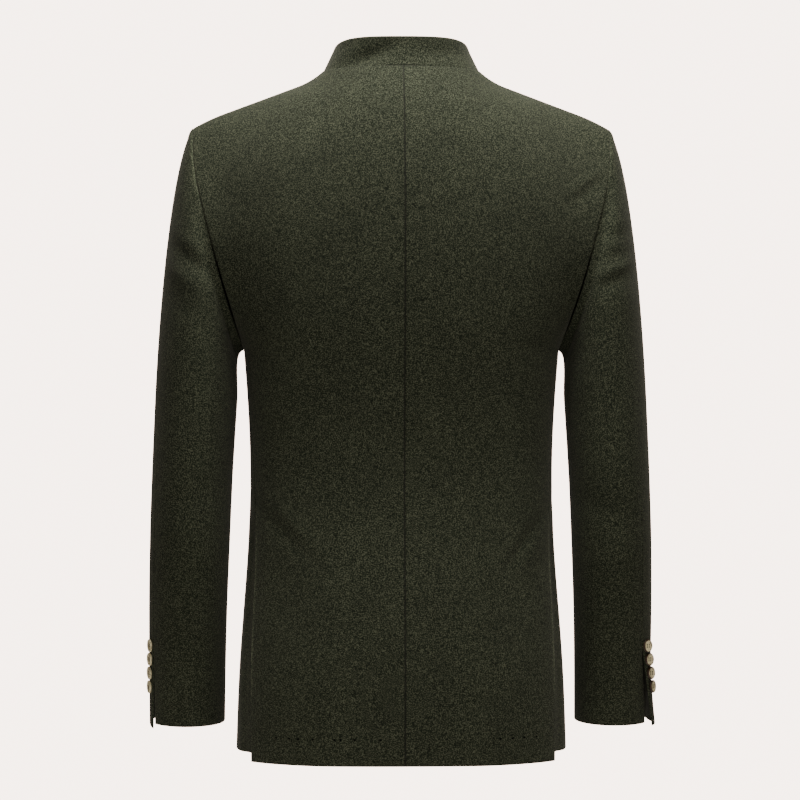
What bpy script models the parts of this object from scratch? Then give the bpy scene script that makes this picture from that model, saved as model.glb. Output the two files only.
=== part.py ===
"""A trachten jacket in the hollow form it has when worn, with no wearer inside.

Sizes are millimetres and become metres when a mesh is made. +Z is up and the front faces
-Y, so the wearer's left is +X. The origin lies midway between the two neck points, where
the shoulders carry the jacket. Shapes are worked out for the left half, and the right half
is their mirror image with its own laps, seams and folds.
"""

from collections import namedtuple

import bmesh
import bpy
import numpy as np
from mathutils import Matrix, Vector

# Cloth, seams and laps
MM = 0.001
CLOTH = 2.0  # wall of the milled wool cloth
COLLAR_CLOTH = 3.4  # two layers of it with an interlining
SEAM_GAP = 0.3  # between pieces sewn edge to edge
LAP_GAP = 0.9  # between a piece and the one that laps over it
ARMHOLE_GAP = 0.42  # between the sleeve head and the armhole
COLLAR_GAP = 0.36  # between the collar and the neck seam

# Body lengths, as heights below the neck points
UNDERARM = -300.0
BACK_HEM = -741.5
FRONT_HEM = -732.5
VENT_TOP = -516.0  # the side seam is sewn down to here
VENT_FULL = -546.0  # and the underlap has its full width from here
VENT_EASE = -470.0  # the front starts to sink under the back here
VENT_UNDERLAP = 0.103  # of a front's width runs on behind the back below the vent top
VENT_SINK_START = 0.89  # share of a front's width where it starts to sink under the back
VENT_SINK_FULL = 0.95
FRONT_LAP = 0.049  # of a front's width runs past the centre
LAP_REACH = 33.0  # the left front covers the right one this far past the centre
LAP_EASE = 32.0  # width over which the right front sinks under it

# Neck, shoulder and collar
NECK_WIDTH = 87.0  # half the width of the neck seam
NECK_BACK = 74.0
NECK_FRONT = -80.0
NECK_SIDE_Y = 4.0
NECK_POINT_HEIGHT = -1.0
NECK_FLARE = 4.0  # rise of the shoulder line into the neck point
RIDGE_ROUND = 1.5  # how roundly the shoulder lines would meet over the neck: 1 is a sharp peak
SHOULDER_TURN = 0.75  # share of the shoulder seam after which it falls more
SHOULDER_DROP = 3.5  # and how much more
NECK_BLEND = 0.3  # of the neck's reach, over which the cloth rises to the neck seam
COLLAR_HEIGHT = 32.0
COLLAR_SIDE_DROP = 3.5  # the collar is lower by this much at the sides
COLLAR_CROWN = 1.0  # and higher by this much halfway to them
COLLAR_LEAN_SIDE = 14.5  # how far the top edge stands in from the neck seam
COLLAR_LEAN_BACK = 7.0
COLLAR_LEAN_FRONT = 9.0
COLLAR_CORNER = 16.0  # radius of the two front corners
COLLAR_FRONT = (0.95, 0.75, 0.5, 0.25)  # its front columns, as shares of the first neck column

# Sleeves
BICEPS = -356.0
CUFF = -706.5
CUFF_VENT_TOP = -610.0
CUFF_SLANT = 3.0  # the cuff is this much longer at the back of the arm and shorter in front
FORE_SEAM = 195.0  # degrees round the sleeve from its outer side, by way of the back
HIND_SEAM_AT_ARMHOLE = 75.0
FLAP_START = 0.8  # share of the top sleeve's width where the buttoned edge starts to lift
HEAD_FOLD_FADE = 0.25  # share of the head over which its folds fade towards the armhole
CAP_PULL = 1.15  # length of the sleeve head's lower handle, as a share of its chord

# Buttons
CUFF_BUTTON = 14.2
CUFF_BUTTON_PITCH = 14.7
CUFF_BUTTON_LOWEST = -665.0
CUFF_BUTTON_INSET = 7.5  # from the flap's edge to the button's centre
CUFF_BUTTON_COUNT = 4
CUFF_BUTTON_SIDES = 12
FRONT_BUTTON = 21.0
FRONT_BUTTON_TOP = -100.0
FRONT_BUTTON_PITCH = 93.0
FRONT_BUTTON_COUNT = 5
FRONT_BUTTON_SIDES = 16
BUTTON_SEAT = 0.3
BUTTON_THICKNESS = 0.2  # of the diameter

# Half a section of a dished button from its face to its back, as shares of radius and thickness.
BUTTON_PROFILE = ((0.0, 0.72), (0.62, 0.72), (0.8, 1.0), (1.0, 0.55), (0.7, 0.0), (0.0, 0.0))

# Level sections of the body. The seam angle runs from centre back to the side seam.
Section = namedtuple("Section", "height half_width back front side_y seam_angle")
BODY = (
    Section(-745.0, 179.5, 128.0, -133.0, 2.0, 62.5),
    Section(-640.0, 175.5, 130.0, -135.0, 2.0, 66.0),
    Section(-540.0, 168.2, 120.0, -130.0, 2.0, 70.0),
    Section(-437.0, 164.0, 108.0, -124.0, 3.0, 75.0),
    Section(-362.0, 166.5, 114.0, -130.0, 4.0, 82.0),
    Section(UNDERARM, 171.0, 124.0, -137.0, 5.0, 90.0),
)
BODY_SQUARENESS = 2.5
YOKE_PULL = 285.0  # how stiffly the upper body carries on from the underarm ring

# How the upper body leaves the shoulder line, at the centre, at the neck points and at the
# armholes: how far it runs level before it falls, and how it rises or dips at the start. The
# power says how far out the rise at the centre holds.
Fall = namedtuple("Fall", "centre centre_rise power neck neck_rise armhole armhole_rise")
FALL = {
    "back": Fall(420.0, -67.0, 3.0, 375.0, 5.0, 200.0, 15.0),
    "front": Fall(165.0, -88.0, 1.0, 300.0, 15.0, 210.0, 15.0),
}

# Heights of the neck seam, by angle round it from centre back.
NECK_SEAM = (
    (0.0, 3.0),
    (45.0, 2.4),
    (90.0, NECK_POINT_HEIGHT),
    (135.0, -29.0),
    (180.0, -68.0),
    (225.0, -29.0),
    (270.0, NECK_POINT_HEIGHT),
    (315.0, 2.4),
)

# The armhole seam, by angle round it from the shoulder point by way of the back.
Station = namedtuple("Station", "angle x y height")
ARMHOLE = (
    Station(0.0, 226.0, 4.0, -60.0),
    Station(40.0, 224.0, 40.0, -106.0),
    Station(75.0, 213.0, 61.0, -158.0),
    Station(110.0, 197.0, 66.0, -216.0),
    Station(145.0, 181.0, 46.0, -268.0),
    Station(180.0, 171.0, 5.0, UNDERARM),
    Station(215.0, 176.0, -36.0, -276.0),
    Station(250.0, 187.0, -58.0, -228.0),
    Station(285.0, 199.0, -60.0, -166.0),
    Station(320.0, 216.0, -38.0, -106.0),
)

# How the sleeve head leaves the armhole: a handle vector at four angles round it.
Lead = namedtuple("Lead", "angle x y height")
SLEEVE_LEAD = (
    Lead(0.0, 64.0, 0.0, -90.0),
    Lead(90.0, 62.0, 22.0, -60.0),
    Lead(180.0, 34.0, 0.0, -8.0),
    Lead(270.0, 62.0, -22.0, -60.0),
)

# Level sections of the sleeve below its head, from the cuff up.
Ring = namedtuple("Ring", "height centre_x centre_y half_width half_depth")
SLEEVE = (
    Ring(CUFF, 233.0, -32.0, 41.0, 51.0),
    Ring(-590.0, 232.0, -10.0, 42.5, 57.0),
    Ring(-505.0, 229.5, 2.0, 43.5, 62.0),
    Ring(-430.0, 226.5, 5.0, 44.0, 66.0),
    Ring(BICEPS, 222.7, 4.0, 44.7, 69.0),
)

# The two sleeves hang a little differently: where the hind-arm seam lies, how far the buttoned
# flap of the cuff vent draws back from it at the cuff, and how far the flap stands out there.
Hang = namedtuple("Hang", "name mirror hind_seam flap_back flap_lift")
SIDES = (
    Hang("left", 1.0, 31.0, 3.4, 1.6),
    Hang("right", -1.0, 49.0, 8.0, 12.5),
)

# The largest folds, as soft ridges (depth above 0) and troughs. On a sleeve the place is an
# angle round it, on the back it is a distance from the centre seam. The slope tilts the fold.
Fold = namedtuple("Fold", "piece place height half_length half_height slope depth")
FOLDS = (
    Fold("sleeve_left", 66.0, -206.0, 42.0, 17.0, -0.4, -4.0),
    Fold("sleeve_left", 46.0, -234.0, 36.0, 17.0, -0.4, 3.5),
    Fold("sleeve_right", 78.0, -204.0, 36.0, 18.0, -0.22, -3.5),
    Fold("sleeve_right", 74.0, -246.0, 38.0, 18.0, -0.22, 3.0),
    Fold("back_left", 128.0, -560.0, 26.0, 60.0, 0.5, -4.0),
    Fold("back_right", 124.0, -556.0, 26.0, 60.0, 0.5, -4.0),
    Fold("back_left", 92.0, -690.0, 34.0, 90.0, 0.0, 3.0),
    Fold("back_right", 88.0, -690.0, 34.0, 90.0, 0.0, 3.0),
)

# Grid lines of the panels
NECK_SHARE = 0.39  # of a panel's width at the top is neck, the rest is shoulder
NECK_COLUMNS = 8
SHOULDER_COLUMNS = 8
SHOULDER_SPREAD = 1.3  # above 1 the columns are closer near the neck
SKIRT_ROWS = 4
VENT_ROWS = 2
WAIST_ROWS = 5
YOKE_ROWS = 12
HEAD_ROWS = 8
ARM_ROWS = 7
CUFF_ROWS = 3
TOP_SLEEVE_COLUMNS = 16
UNDER_SLEEVE_COLUMNS = 8
COLLAR_ROWS = 3
NECK_SAMPLES = 50  # points at which the neck cut is found across a panel
RISE_SAMPLES = 200  # and up it
NECK_CUT_LOWEST = 0.5  # rise above which it is looked for
NECK_MARGIN = 15.0  # degrees past the centre to which it is found
STEP = 1e-3  # for slopes taken by differences


def unit(vectors):
    return vectors / np.linalg.norm(vectors, axis=-1, keepdims=True)


def smooth(share):
    """0 below 0, 1 above 1, with a soft start and end between them."""
    share = np.clip(share, 0.0, 1.0)
    return share * share * (3.0 - 2.0 * share)


def spline(table):
    """The natural cubic curve through a table's rows, read by their first column."""
    rows = np.array(table, float)
    knots, values = rows[:, 0], rows[:, 1:]
    gap = np.diff(knots)
    slope = np.diff(values, axis=0) / gap[:, None]
    system = np.eye(len(knots))
    wanted = np.zeros_like(values)
    for i in range(1, len(knots) - 1):
        system[i, i - 1 : i + 2] = gap[i - 1], 2.0 * (gap[i - 1] + gap[i]), gap[i]
        wanted[i] = 6.0 * (slope[i] - slope[i - 1])
    bend = np.linalg.solve(system, wanted)

    def at(place):
        place = np.asarray(place, float)
        i = np.clip(np.searchsorted(knots, place) - 1, 0, len(gap) - 1)
        span = gap[i][..., None]
        near = (knots[i + 1] - place)[..., None] / span
        far = 1.0 - near
        curve = (near**3 - near) * bend[i] + (far**3 - far) * bend[i + 1]
        return near * values[i] + far * values[i + 1] + curve * span**2 / 6.0

    return at


def round_spline(table):
    """The same for a table that goes once round, in degrees."""
    turns = [(row[0] + turn, *row[1:]) for turn in (-360.0, 0.0, 360.0) for row in table]
    at = spline(turns)
    return lambda angle: at(np.mod(angle, 360.0))


body_section = spline(BODY)
sleeve_section = spline(SLEEVE)
armhole = round_spline(ARMHOLE)
sleeve_lead = round_spline(SLEEVE_LEAD)
neck_seam = round_spline(NECK_SEAM)


def hermite(start, start_pull, end, end_pull, share):
    """A curve between two points that leaves and arrives along the pulls."""
    share = share[..., None]
    rise = share * share * (3.0 - 2.0 * share)
    leave = share * (1.0 - share) ** 2
    arrive = share * share * (share - 1.0)
    return start + (end - start) * rise + start_pull * leave + end_pull * arrive


def normals(surface, across, along, sense):
    """Outward unit normals of a surface with two running values."""
    run = surface(across + STEP, along) - surface(across - STEP, along)
    rise = surface(across, along + STEP) - surface(across, along - STEP)
    return sense * unit(np.cross(run, rise))


# The body

def body_ring(height, angle):
    """A rounded level section; the angle runs from centre back by way of the left side."""
    half_width, back, front, side_y, _ = np.moveaxis(body_section(height), -1, 0)
    turn = np.radians(angle)
    power = 2.0 / BODY_SQUARENESS
    sine, cosine = np.sin(turn), np.cos(turn)
    depth = np.where(cosine > 0.0, back - side_y, side_y - front)
    x = half_width * np.sign(sine) * np.abs(sine) ** power
    y = side_y + depth * np.sign(cosine) * np.abs(cosine) ** power
    return np.stack([x, y, height + 0.0 * x], axis=-1)


def panel_angle(part, share, height):
    seam = body_section(height)[..., 4]
    if part == "back":
        return share * seam
    return 180.0 - share * (180.0 - seam)


def neck_angle(point):
    """Degrees round the neck from centre back, -90 to 270, and how far out a point lies: 1 is
    on the seam."""
    reach = np.where(point[..., 1] > NECK_SIDE_Y, NECK_BACK - NECK_SIDE_Y, NECK_SIDE_Y - NECK_FRONT)
    across = point[..., 0] / NECK_WIDTH
    back = (point[..., 1] - NECK_SIDE_Y) / reach
    angle = np.degrees(np.arctan2(across, back))
    return np.mod(angle + 90.0, 360.0) - 90.0, np.hypot(across, back)


def ridge(share):
    """The shoulder line, which runs on over the neck and is rounded at the centre."""
    tip = armhole(0.0)
    reach = np.abs(share) / NECK_SHARE
    out = (np.abs(share) - NECK_SHARE) / (1.0 - NECK_SHARE)
    fall = np.maximum(out - SHOULDER_TURN, 0.0) / (1.0 - SHOULDER_TURN)
    start = NECK_POINT_HEIGHT - NECK_FLARE
    slope = tip[2] + SHOULDER_DROP - start
    shoulder = start + slope * out - SHOULDER_DROP * fall**2
    shoulder_x = NECK_WIDTH + (tip[0] - NECK_WIDTH) * out
    steepness = slope / (tip[0] - NECK_WIDTH) * NECK_WIDTH
    over_neck = start - steepness * (1.0 - reach**RIDGE_ROUND) / RIDGE_ROUND
    on_shoulder = out > 0.0
    x = np.where(on_shoulder, shoulder_x, NECK_WIDTH * share / NECK_SHARE)
    height = np.where(on_shoulder, shoulder, over_neck)
    return np.stack([x, NECK_SIDE_Y + 0.0 * x, height], axis=-1)


def dome(part, share, rise):
    """The upper body without a neck hole, from the underarm ring up to the shoulder line."""
    sense = 1.0 if part == "back" else -1.0
    fall = FALL[part]

    def bare(share):
        level = np.full_like(share, UNDERARM)
        angle = panel_angle(part, share, level)
        low = body_ring(level, angle)
        low_pull = (low - body_ring(level - STEP, angle)) / STEP * YOKE_PULL
        reach = np.abs(share)
        to_neck = np.minimum(reach / NECK_SHARE, 1.0)
        to_armhole = smooth((reach - NECK_SHARE) / (1.0 - NECK_SHARE))
        level_run = fall.centre + (fall.neck - fall.centre) * smooth(to_neck)
        level_run = level_run + (fall.armhole - fall.neck) * to_armhole
        held = smooth(to_neck**fall.power)
        rise_run = fall.centre_rise + (fall.neck_rise - fall.centre_rise) * held
        rise_run = rise_run + (fall.armhole_rise - fall.neck_rise) * to_armhole
        pull = np.stack([0.0 * reach, -sense * level_run, rise_run], axis=-1)
        return hermite(low, low_pull, ridge(share), pull, rise)

    edge = armhole(180.0 * (1.0 - sense * rise))
    return bare(share) + np.abs(share[..., None]) ** 3 * (edge - bare(np.ones_like(share)))


def neck_shares():
    """Shares of a panel's width in even steps round the neck, from a little past the centre."""
    return NECK_SHARE * np.sin(np.radians(np.linspace(-NECK_MARGIN, 90.0, NECK_SAMPLES)))


def neck_cut(part):
    """The rise at which the neck seam cuts the dome, as a curve over the panel's width."""
    rises = np.linspace(NECK_CUT_LOWEST, 1.0, RISE_SAMPLES)
    found = []
    for share in neck_shares():
        out = neck_angle(dome(part, np.full_like(rises, share), rises))[1]
        found.append(np.interp(-1.0, -out, rises))
    return spline(list(zip(neck_shares(), found)))


neck_cuts = {"back": neck_cut("back"), "front": neck_cut("front")}


def neck_lift(part):
    """How much higher the neck seam lies than the dome where it cuts it, by angle round the neck."""
    edge = dome(part, neck_shares(), neck_cuts[part](neck_shares())[..., 0])
    angle = neck_angle(edge)[0]
    missing = neck_seam(angle)[..., 0] - edge[..., 2]
    return spline(sorted(zip(angle, missing)))


neck_lifts = {"back": neck_lift("back"), "front": neck_lift("front")}


def yoke(part, share, rise):
    """The dome with the cloth round the neck brought to the neck seam's height."""
    point = dome(part, share, rise)
    angle, out = neck_angle(point)
    angle = np.minimum(angle, 90.0) if part == "back" else np.maximum(angle, 90.0)
    near = np.clip(1.0 - (out - 1.0) / NECK_BLEND, 0.0, 1.0)
    point[..., 2] += neck_lifts[part](angle)[..., 0] * near**2
    return point


def to_neck_seam(part, share, along):
    """Draws the rows above the underarm down, so that the last of them is the neck seam."""
    top = neck_cuts[part](np.minimum(share, NECK_SHARE))[..., 0]
    top = np.where(share < NECK_SHARE, top, 1.0)
    return np.where(along > UNDERARM, UNDERARM + (along - UNDERARM) * top, along)


def body_surface(part):
    """The outer face of a left panel; along is a height up to the underarm, then UNDERARM + rise."""

    def at(share, along):
        share, along = np.broadcast_arrays(share, along)
        height = np.minimum(along, UNDERARM)
        low = body_ring(height, panel_angle(part, share, height))
        high = yoke(part, share, np.maximum(along - UNDERARM, 0.0))
        return np.where((along > UNDERARM)[..., None], high, low)

    return at


def body_normals(part, share, along):
    """Outward normals of a left panel. The underarm row takes them from just below it."""
    low = np.where(np.abs(along - UNDERARM) < STEP, UNDERARM - 2.0 * STEP, along)
    return normals(body_surface(part), share, low, -1.0 if part == "back" else 1.0)


def fold_height(piece, place, height):
    """How far the folds of a piece lift its face at the given places."""
    lift = np.zeros_like(height)
    for fold in FOLDS:
        if fold.piece == piece:
            beside = (place - fold.place) / fold.half_length
            above = (height - fold.height - fold.slope * (place - fold.place)) / fold.half_height
            lift += fold.depth * np.exp(-(beside**2) - above**2)
    return lift


def ease_edge(points, edge, beside, amount):
    """Draws a panel's edge line back from a seam, towards the line beside it."""
    points[edge] += unit(points[beside] - points[edge]) * amount


def panel_rows(hem):
    """Heights from the hem to the underarm, then the yoke's rows."""
    skirt = np.linspace(hem, VENT_FULL, SKIRT_ROWS + 1)
    vent = np.linspace(VENT_FULL, VENT_TOP, VENT_ROWS + 1)[1:]
    waist = np.linspace(VENT_TOP, UNDERARM, WAIST_ROWS + 1)[1:]
    above = UNDERARM + np.linspace(0.0, 1.0, YOKE_ROWS + 1)[1:]
    return np.concatenate([skirt, vent, waist, above])


def panel_columns():
    """Shares of a panel's width: even steps round the neck, then along the shoulder."""
    neck = NECK_SHARE * np.sin(np.linspace(0.0, np.pi / 2.0, NECK_COLUMNS + 1))
    shoulder = np.linspace(0.0, 1.0, SHOULDER_COLUMNS + 1)[1:] ** SHOULDER_SPREAD
    return np.concatenate([neck, NECK_SHARE + (1.0 - NECK_SHARE) * shoulder])


def level_shoulder(face, share):
    """Turns the top row's normals square to the shoulder seam, so that both panels meet flush."""
    seam = share[-1] >= NECK_SHARE
    face[-1, seam, 1] = 0.0
    face[-1, seam] = unit(face[-1, seam])


def back_panel(name):
    """Outer and inner points of a back, from the centre seam to the side seam and armhole."""
    along, share = np.meshgrid(panel_rows(BACK_HEM), panel_columns(), indexing="ij")
    along = to_neck_seam("back", share, along)
    outer = body_surface("back")(share, along)
    face = body_normals("back", share, along)
    level_shoulder(face, share)
    outer += face * fold_height(name, outer[..., 0], outer[..., 2])[..., None]
    ease_edge(outer, np.s_[:, 0], np.s_[:, 1], SEAM_GAP / 2)
    ease_edge(outer, np.s_[:YOKE_ROWS, -1], np.s_[:YOKE_ROWS, -2], SEAM_GAP / 2)
    ease_edge(outer, np.s_[-1], np.s_[-2], SEAM_GAP / 2)
    return outer, outer - face * CLOTH


def front_panel(name):
    """The same for a front, with its lap past the centre and its underlap behind the vent."""
    columns = np.concatenate([[-FRONT_LAP], panel_columns()])
    along, share = np.meshgrid(panel_rows(FRONT_HEM), columns, indexing="ij")
    along = to_neck_seam("front", share, along)
    sunk = smooth((VENT_EASE - along) / (VENT_EASE - VENT_TOP))
    underlap = smooth((VENT_TOP - along) / (VENT_TOP - VENT_FULL))
    share = share * (1.0 + underlap * VENT_UNDERLAP)
    outer = body_surface("front")(share, along)
    face = body_normals("front", share, along)
    level_shoulder(face, share)
    step = CLOTH + LAP_GAP
    sink = step * sunk * smooth((share - VENT_SINK_START) / (VENT_SINK_FULL - VENT_SINK_START))
    if name == "front_right":
        sink = sink + step * smooth((LAP_REACH + LAP_EASE - outer[..., 0]) / LAP_EASE)
    under = fold_height(name.replace("front", "back"), outer[..., 0], outer[..., 2])
    under = np.where(outer[..., 1] > 0.0, under, 0.0)
    outer += face * (under - sink)[..., None]
    sewn = along[:, 0] > VENT_TOP - STEP
    ease_edge(outer, np.s_[sewn, -1], np.s_[sewn, -2], SEAM_GAP / 2)
    ease_edge(outer, np.s_[-1], np.s_[-2], SEAM_GAP / 2)
    return outer, outer - face * CLOTH


# Sleeves

def sleeve_ring(height, angle):
    centre_x, centre_y, half_width, half_depth = np.moveaxis(sleeve_section(height), -1, 0)
    turn = np.radians(angle)
    x = centre_x + half_width * np.cos(turn)
    y = centre_y + half_depth * np.sin(turn)
    return np.stack([x, y, height + 0.0 * x], axis=-1)


def armhole_outwards(angle):
    """Unit directions that lead out of the body panel across the armhole seam."""
    angle = np.mod(angle, 360.0)
    along = UNDERARM + np.abs(1.0 - angle / 180.0)
    edge = np.ones_like(angle)
    on_back = (angle <= 180.0)[..., None]
    face = np.where(on_back, body_normals("back", edge, along), body_normals("front", edge, along))
    seam = armhole(angle + STEP) - armhole(angle - STEP)
    return unit(np.cross(seam, face))


def sleeve_surface(angle, along):
    """The outer face of the left sleeve; along runs 0 to 1 down the head, then to 2 at the cuff."""
    angle, along = np.broadcast_arrays(angle, along)
    height = BICEPS + (CUFF - BICEPS) * np.maximum(along - 1.0, 0.0)
    tube = sleeve_ring(height, angle)
    tube[..., 2] -= CUFF_SLANT * np.sin(np.radians(angle)) * np.maximum(along - 1.0, 0.0) ** 2
    start = armhole(angle)
    level = np.full_like(angle, BICEPS)
    end = sleeve_ring(level, angle)
    pull = (sleeve_ring(level - STEP, angle) - end) / STEP
    pull = pull * CAP_PULL * np.linalg.norm(end - start, axis=-1, keepdims=True)
    head = hermite(start, sleeve_lead(angle), end, pull, np.minimum(along, 1.0))
    return np.where((along > 1.0)[..., None], tube, head)


def sleeve_rows():
    """Rows of the head, of the sleeve, and of the cuff vent."""
    vent = 1.0 + (CUFF_VENT_TOP - BICEPS) / (CUFF - BICEPS)
    head = np.linspace(0.0, 1.0, HEAD_ROWS + 1)
    arm = np.linspace(1.0, vent, ARM_ROWS + 1)[1:]
    return np.concatenate([head, arm, np.linspace(vent, 2.0, CUFF_ROWS + 1)[1:]])


def hind_seam(hang, along):
    """The seam's angle down the sleeve: high on the armhole, then settling to its hang."""
    fall = smooth(along)
    return HIND_SEAM_AT_ARMHOLE + (hang.hind_seam - HIND_SEAM_AT_ARMHOLE) * fall


def vent_share(along):
    """0 at the top of the cuff vent, 1 at the cuff."""
    height = BICEPS + (CUFF - BICEPS) * (along - 1.0)
    return np.clip((CUFF_VENT_TOP - height) / (CUFF_VENT_TOP - CUFF), 0.0, 1.0)


def flap_edge(hang, along):
    """The angle of the top sleeve's hind edge, which leaves the seam at the top of the vent."""
    back = np.degrees(hang.flap_back / SLEEVE[0].half_depth)
    return hind_seam(hang, along) - back * vent_share(along)


def top_sleeve_surface(hang):
    """The sleeve's outer face with the buttoned flap standing out beside the vent."""

    def at(angle, along):
        first = FORE_SEAM - 360.0
        share = (angle - first) / (flap_edge(hang, along) - first)
        flap = smooth((share - FLAP_START) / (1.0 - FLAP_START)) * vent_share(along)
        face = normals(sleeve_surface, angle, along, -1.0)
        return sleeve_surface(angle, along) + face * (hang.flap_lift * flap)[..., None]

    return at


def sleeve_panel(half, hang, columns):
    """Outer and inner points of a top sleeve or an under sleeve."""
    along, share = np.meshgrid(sleeve_rows(), np.linspace(0.0, 1.0, columns + 1), indexing="ij")
    if half == "top":
        first, last = FORE_SEAM - 360.0, flap_edge(hang, along)
        surface = top_sleeve_surface(hang)
    else:
        first, last = hind_seam(hang, along), FORE_SEAM
        surface = sleeve_surface
    angle = first + (last - first) * share
    outer = surface(angle, along)
    face = normals(surface, angle, along, -1.0)
    out = armhole_outwards(angle[0])
    over = np.maximum((face[0] * out).sum(-1, keepdims=True), 0.0)
    face[0] = unit(face[0] - over * out)
    lift = fold_height("sleeve_" + hang.name, angle, outer[..., 2])
    lift *= smooth(along / HEAD_FOLD_FADE)
    outer += face * lift[..., None]
    outer[0] += out * ARMHOLE_GAP
    sewn = vent_share(along[:, 0]) <= 0.0
    hind, beside_hind = (-1, -2) if half == "top" else (0, 1)
    fore, beside_fore = (0, 1) if half == "top" else (-1, -2)
    ease_edge(outer, np.s_[sewn, hind], np.s_[sewn, beside_hind], SEAM_GAP / 2)
    ease_edge(outer, np.s_[:, fore], np.s_[:, beside_fore], SEAM_GAP / 2)
    return outer, outer - face * CLOTH


# Collar

def neck_line():
    """Points of the left half of the neck seam, from centre back to centre front."""
    share = panel_columns()[: NECK_COLUMNS + 1]
    halves = []
    for part in ("back", "front"):
        top = to_neck_seam(part, share, np.full_like(share, UNDERARM + 1.0))
        halves.append(body_surface(part)(share, top))
    return np.concatenate([halves[0], halves[1][-2::-1]])


def collar_surface(place, share):
    """The outer face of the stand collar. The place counts neck columns from centre back."""
    place, share = np.broadcast_arrays(place, share)
    line = neck_line()
    count = np.arange(len(line))
    base = np.stack([np.interp(np.abs(place), count, line[:, axis]) for axis in range(3)], axis=-1)
    turn = np.radians(neck_angle(base)[0])
    sine, cosine = np.sin(turn), np.cos(turn)
    lean_y = np.where(cosine > 0.0, COLLAR_LEAN_BACK, COLLAR_LEAN_FRONT)
    cut = COLLAR_CORNER - np.clip(base[..., 0], 0.0, COLLAR_CORNER)
    cut = np.where(cosine > 0.0, 0.0, cut)
    tall = COLLAR_HEIGHT - COLLAR_CORNER + np.sqrt(COLLAR_CORNER**2 - cut**2)
    tall = tall - COLLAR_SIDE_DROP * sine**6 + COLLAR_CROWN * np.sin(2.0 * turn) ** 2
    inwards = np.stack([-sine, -cosine, 0.0 * sine], axis=-1)
    base = base + inwards * SEAM_GAP
    base[..., 2] += COLLAR_GAP
    rise = np.stack([-COLLAR_LEAN_SIDE * sine, -lean_y * cosine, tall], axis=-1)
    point = base + rise * share[..., None]
    point[..., 0] *= np.where(place < 0.0, -1.0, 1.0)
    return point


def collar_panel():
    last = 2 * NECK_COLUMNS
    half = np.concatenate([np.arange(last), last - 1 + np.sort(COLLAR_FRONT)])
    places = np.concatenate([-half[:0:-1], half])
    share, place = np.meshgrid(np.linspace(0.0, 1.0, COLLAR_ROWS + 1), places, indexing="ij")
    outer = collar_surface(place, share)
    return outer, outer - normals(collar_surface, place, share, -1.0) * COLLAR_CLOTH


# Meshes

def wool(name, colour):
    material = bpy.data.materials.new(name)
    material.use_nodes = True
    shader = material.node_tree.nodes["Principled BSDF"]
    shader.inputs["Base Color"].default_value = (*colour, 1.0)
    shader.inputs["Roughness"].default_value = 0.9
    shader.inputs["Metallic"].default_value = 0.0
    shader.inputs["Sheen Weight"].default_value = 0.3
    return material


def horn(name, colour):
    material = bpy.data.materials.new(name)
    material.use_nodes = True
    shader = material.node_tree.nodes["Principled BSDF"]
    shader.inputs["Base Color"].default_value = (*colour, 1.0)
    shader.inputs["Roughness"].default_value = 0.45
    shader.inputs["Metallic"].default_value = 0.0
    return material


def add_object(name, mesh, material):
    mesh.materials.append(material)
    piece = bpy.data.objects.new(name, mesh)
    piece.parent = jacket
    parts.objects.link(piece)
    return piece


def cloth_wall(name, outer, inner, mirror, material):
    """A grid laid on the outer points and extruded to the inner ones, so the wall is closed."""
    rows, columns = outer.shape[:2]
    side = np.array([mirror, 1.0, 1.0]) * MM
    grid = bmesh.new()
    bmesh.ops.create_grid(grid, x_segments=columns - 1, y_segments=rows - 1, size=1.0)
    made = bmesh.ops.extrude_face_region(grid, geom=grid.faces[:])
    raised = {vertex for vertex in made["geom"] if isinstance(vertex, bmesh.types.BMVert)}
    for vertex in grid.verts:
        column = round((vertex.co.x + 1.0) / 2.0 * (columns - 1))
        row = round((vertex.co.y + 1.0) / 2.0 * (rows - 1))
        points = outer if vertex in raised else inner
        vertex.co = Vector(points[row, column] * side)
    bmesh.ops.recalc_face_normals(grid, faces=grid.faces[:])
    mesh = bpy.data.meshes.new(name)
    grid.to_mesh(mesh)
    grid.free()
    mesh.shade_smooth()
    mesh.set_sharp_from_angle(angle=np.radians(40.0))
    return add_object(name, mesh, material)


def button_profile(diameter):
    """The half section of a button, as a line of edges to turn about its axis."""
    scale = Vector((diameter / 2.0, 0.0, diameter * BUTTON_THICKNESS)) * MM
    outline = bmesh.new()
    ring = [outline.verts.new(Vector((out, 0.0, up)) * scale) for out, up in BUTTON_PROFILE]
    for upper, lower in zip(ring, ring[1:]):
        outline.edges.new((upper, lower))
    mesh = bpy.data.meshes.new("button_profile")
    outline.to_mesh(mesh)
    outline.free()
    return mesh


def button(name, diameter, point, face, mirror, material, steps):
    """A turned button that sits on a cloth face, square to it."""
    piece = add_object(name, button_profile(diameter), material)
    side = Vector((mirror, 1.0, 1.0))
    seat = Vector(point + face * BUTTON_SEAT) * side * MM
    axis = Vector(face) * side
    piece.matrix_local = Matrix.Translation(seat) @ axis.to_track_quat("Z", "Y").to_matrix().to_4x4()
    turned = piece.modifiers.new("turned", "SCREW")
    turned.steps = turned.render_steps = steps
    turned.use_merge_vertices = True
    turned.merge_threshold = 0.0001
    turned.use_smooth_shade = False
    return piece


for old in list(bpy.data.objects):
    bpy.data.objects.remove(old, do_unlink=True)

parts = bpy.data.collections.new("trachten_jacket")
bpy.context.scene.collection.children.link(parts)
jacket = bpy.data.objects.new("wearer_shoulders", None)
parts.objects.link(jacket)
loden = wool("dark olive milled wool", (0.024, 0.028, 0.016))
collar_wool = wool("dark olive collar wool", (0.022, 0.026, 0.015))
staghorn = horn("stag horn", (0.42, 0.30, 0.16))

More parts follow.
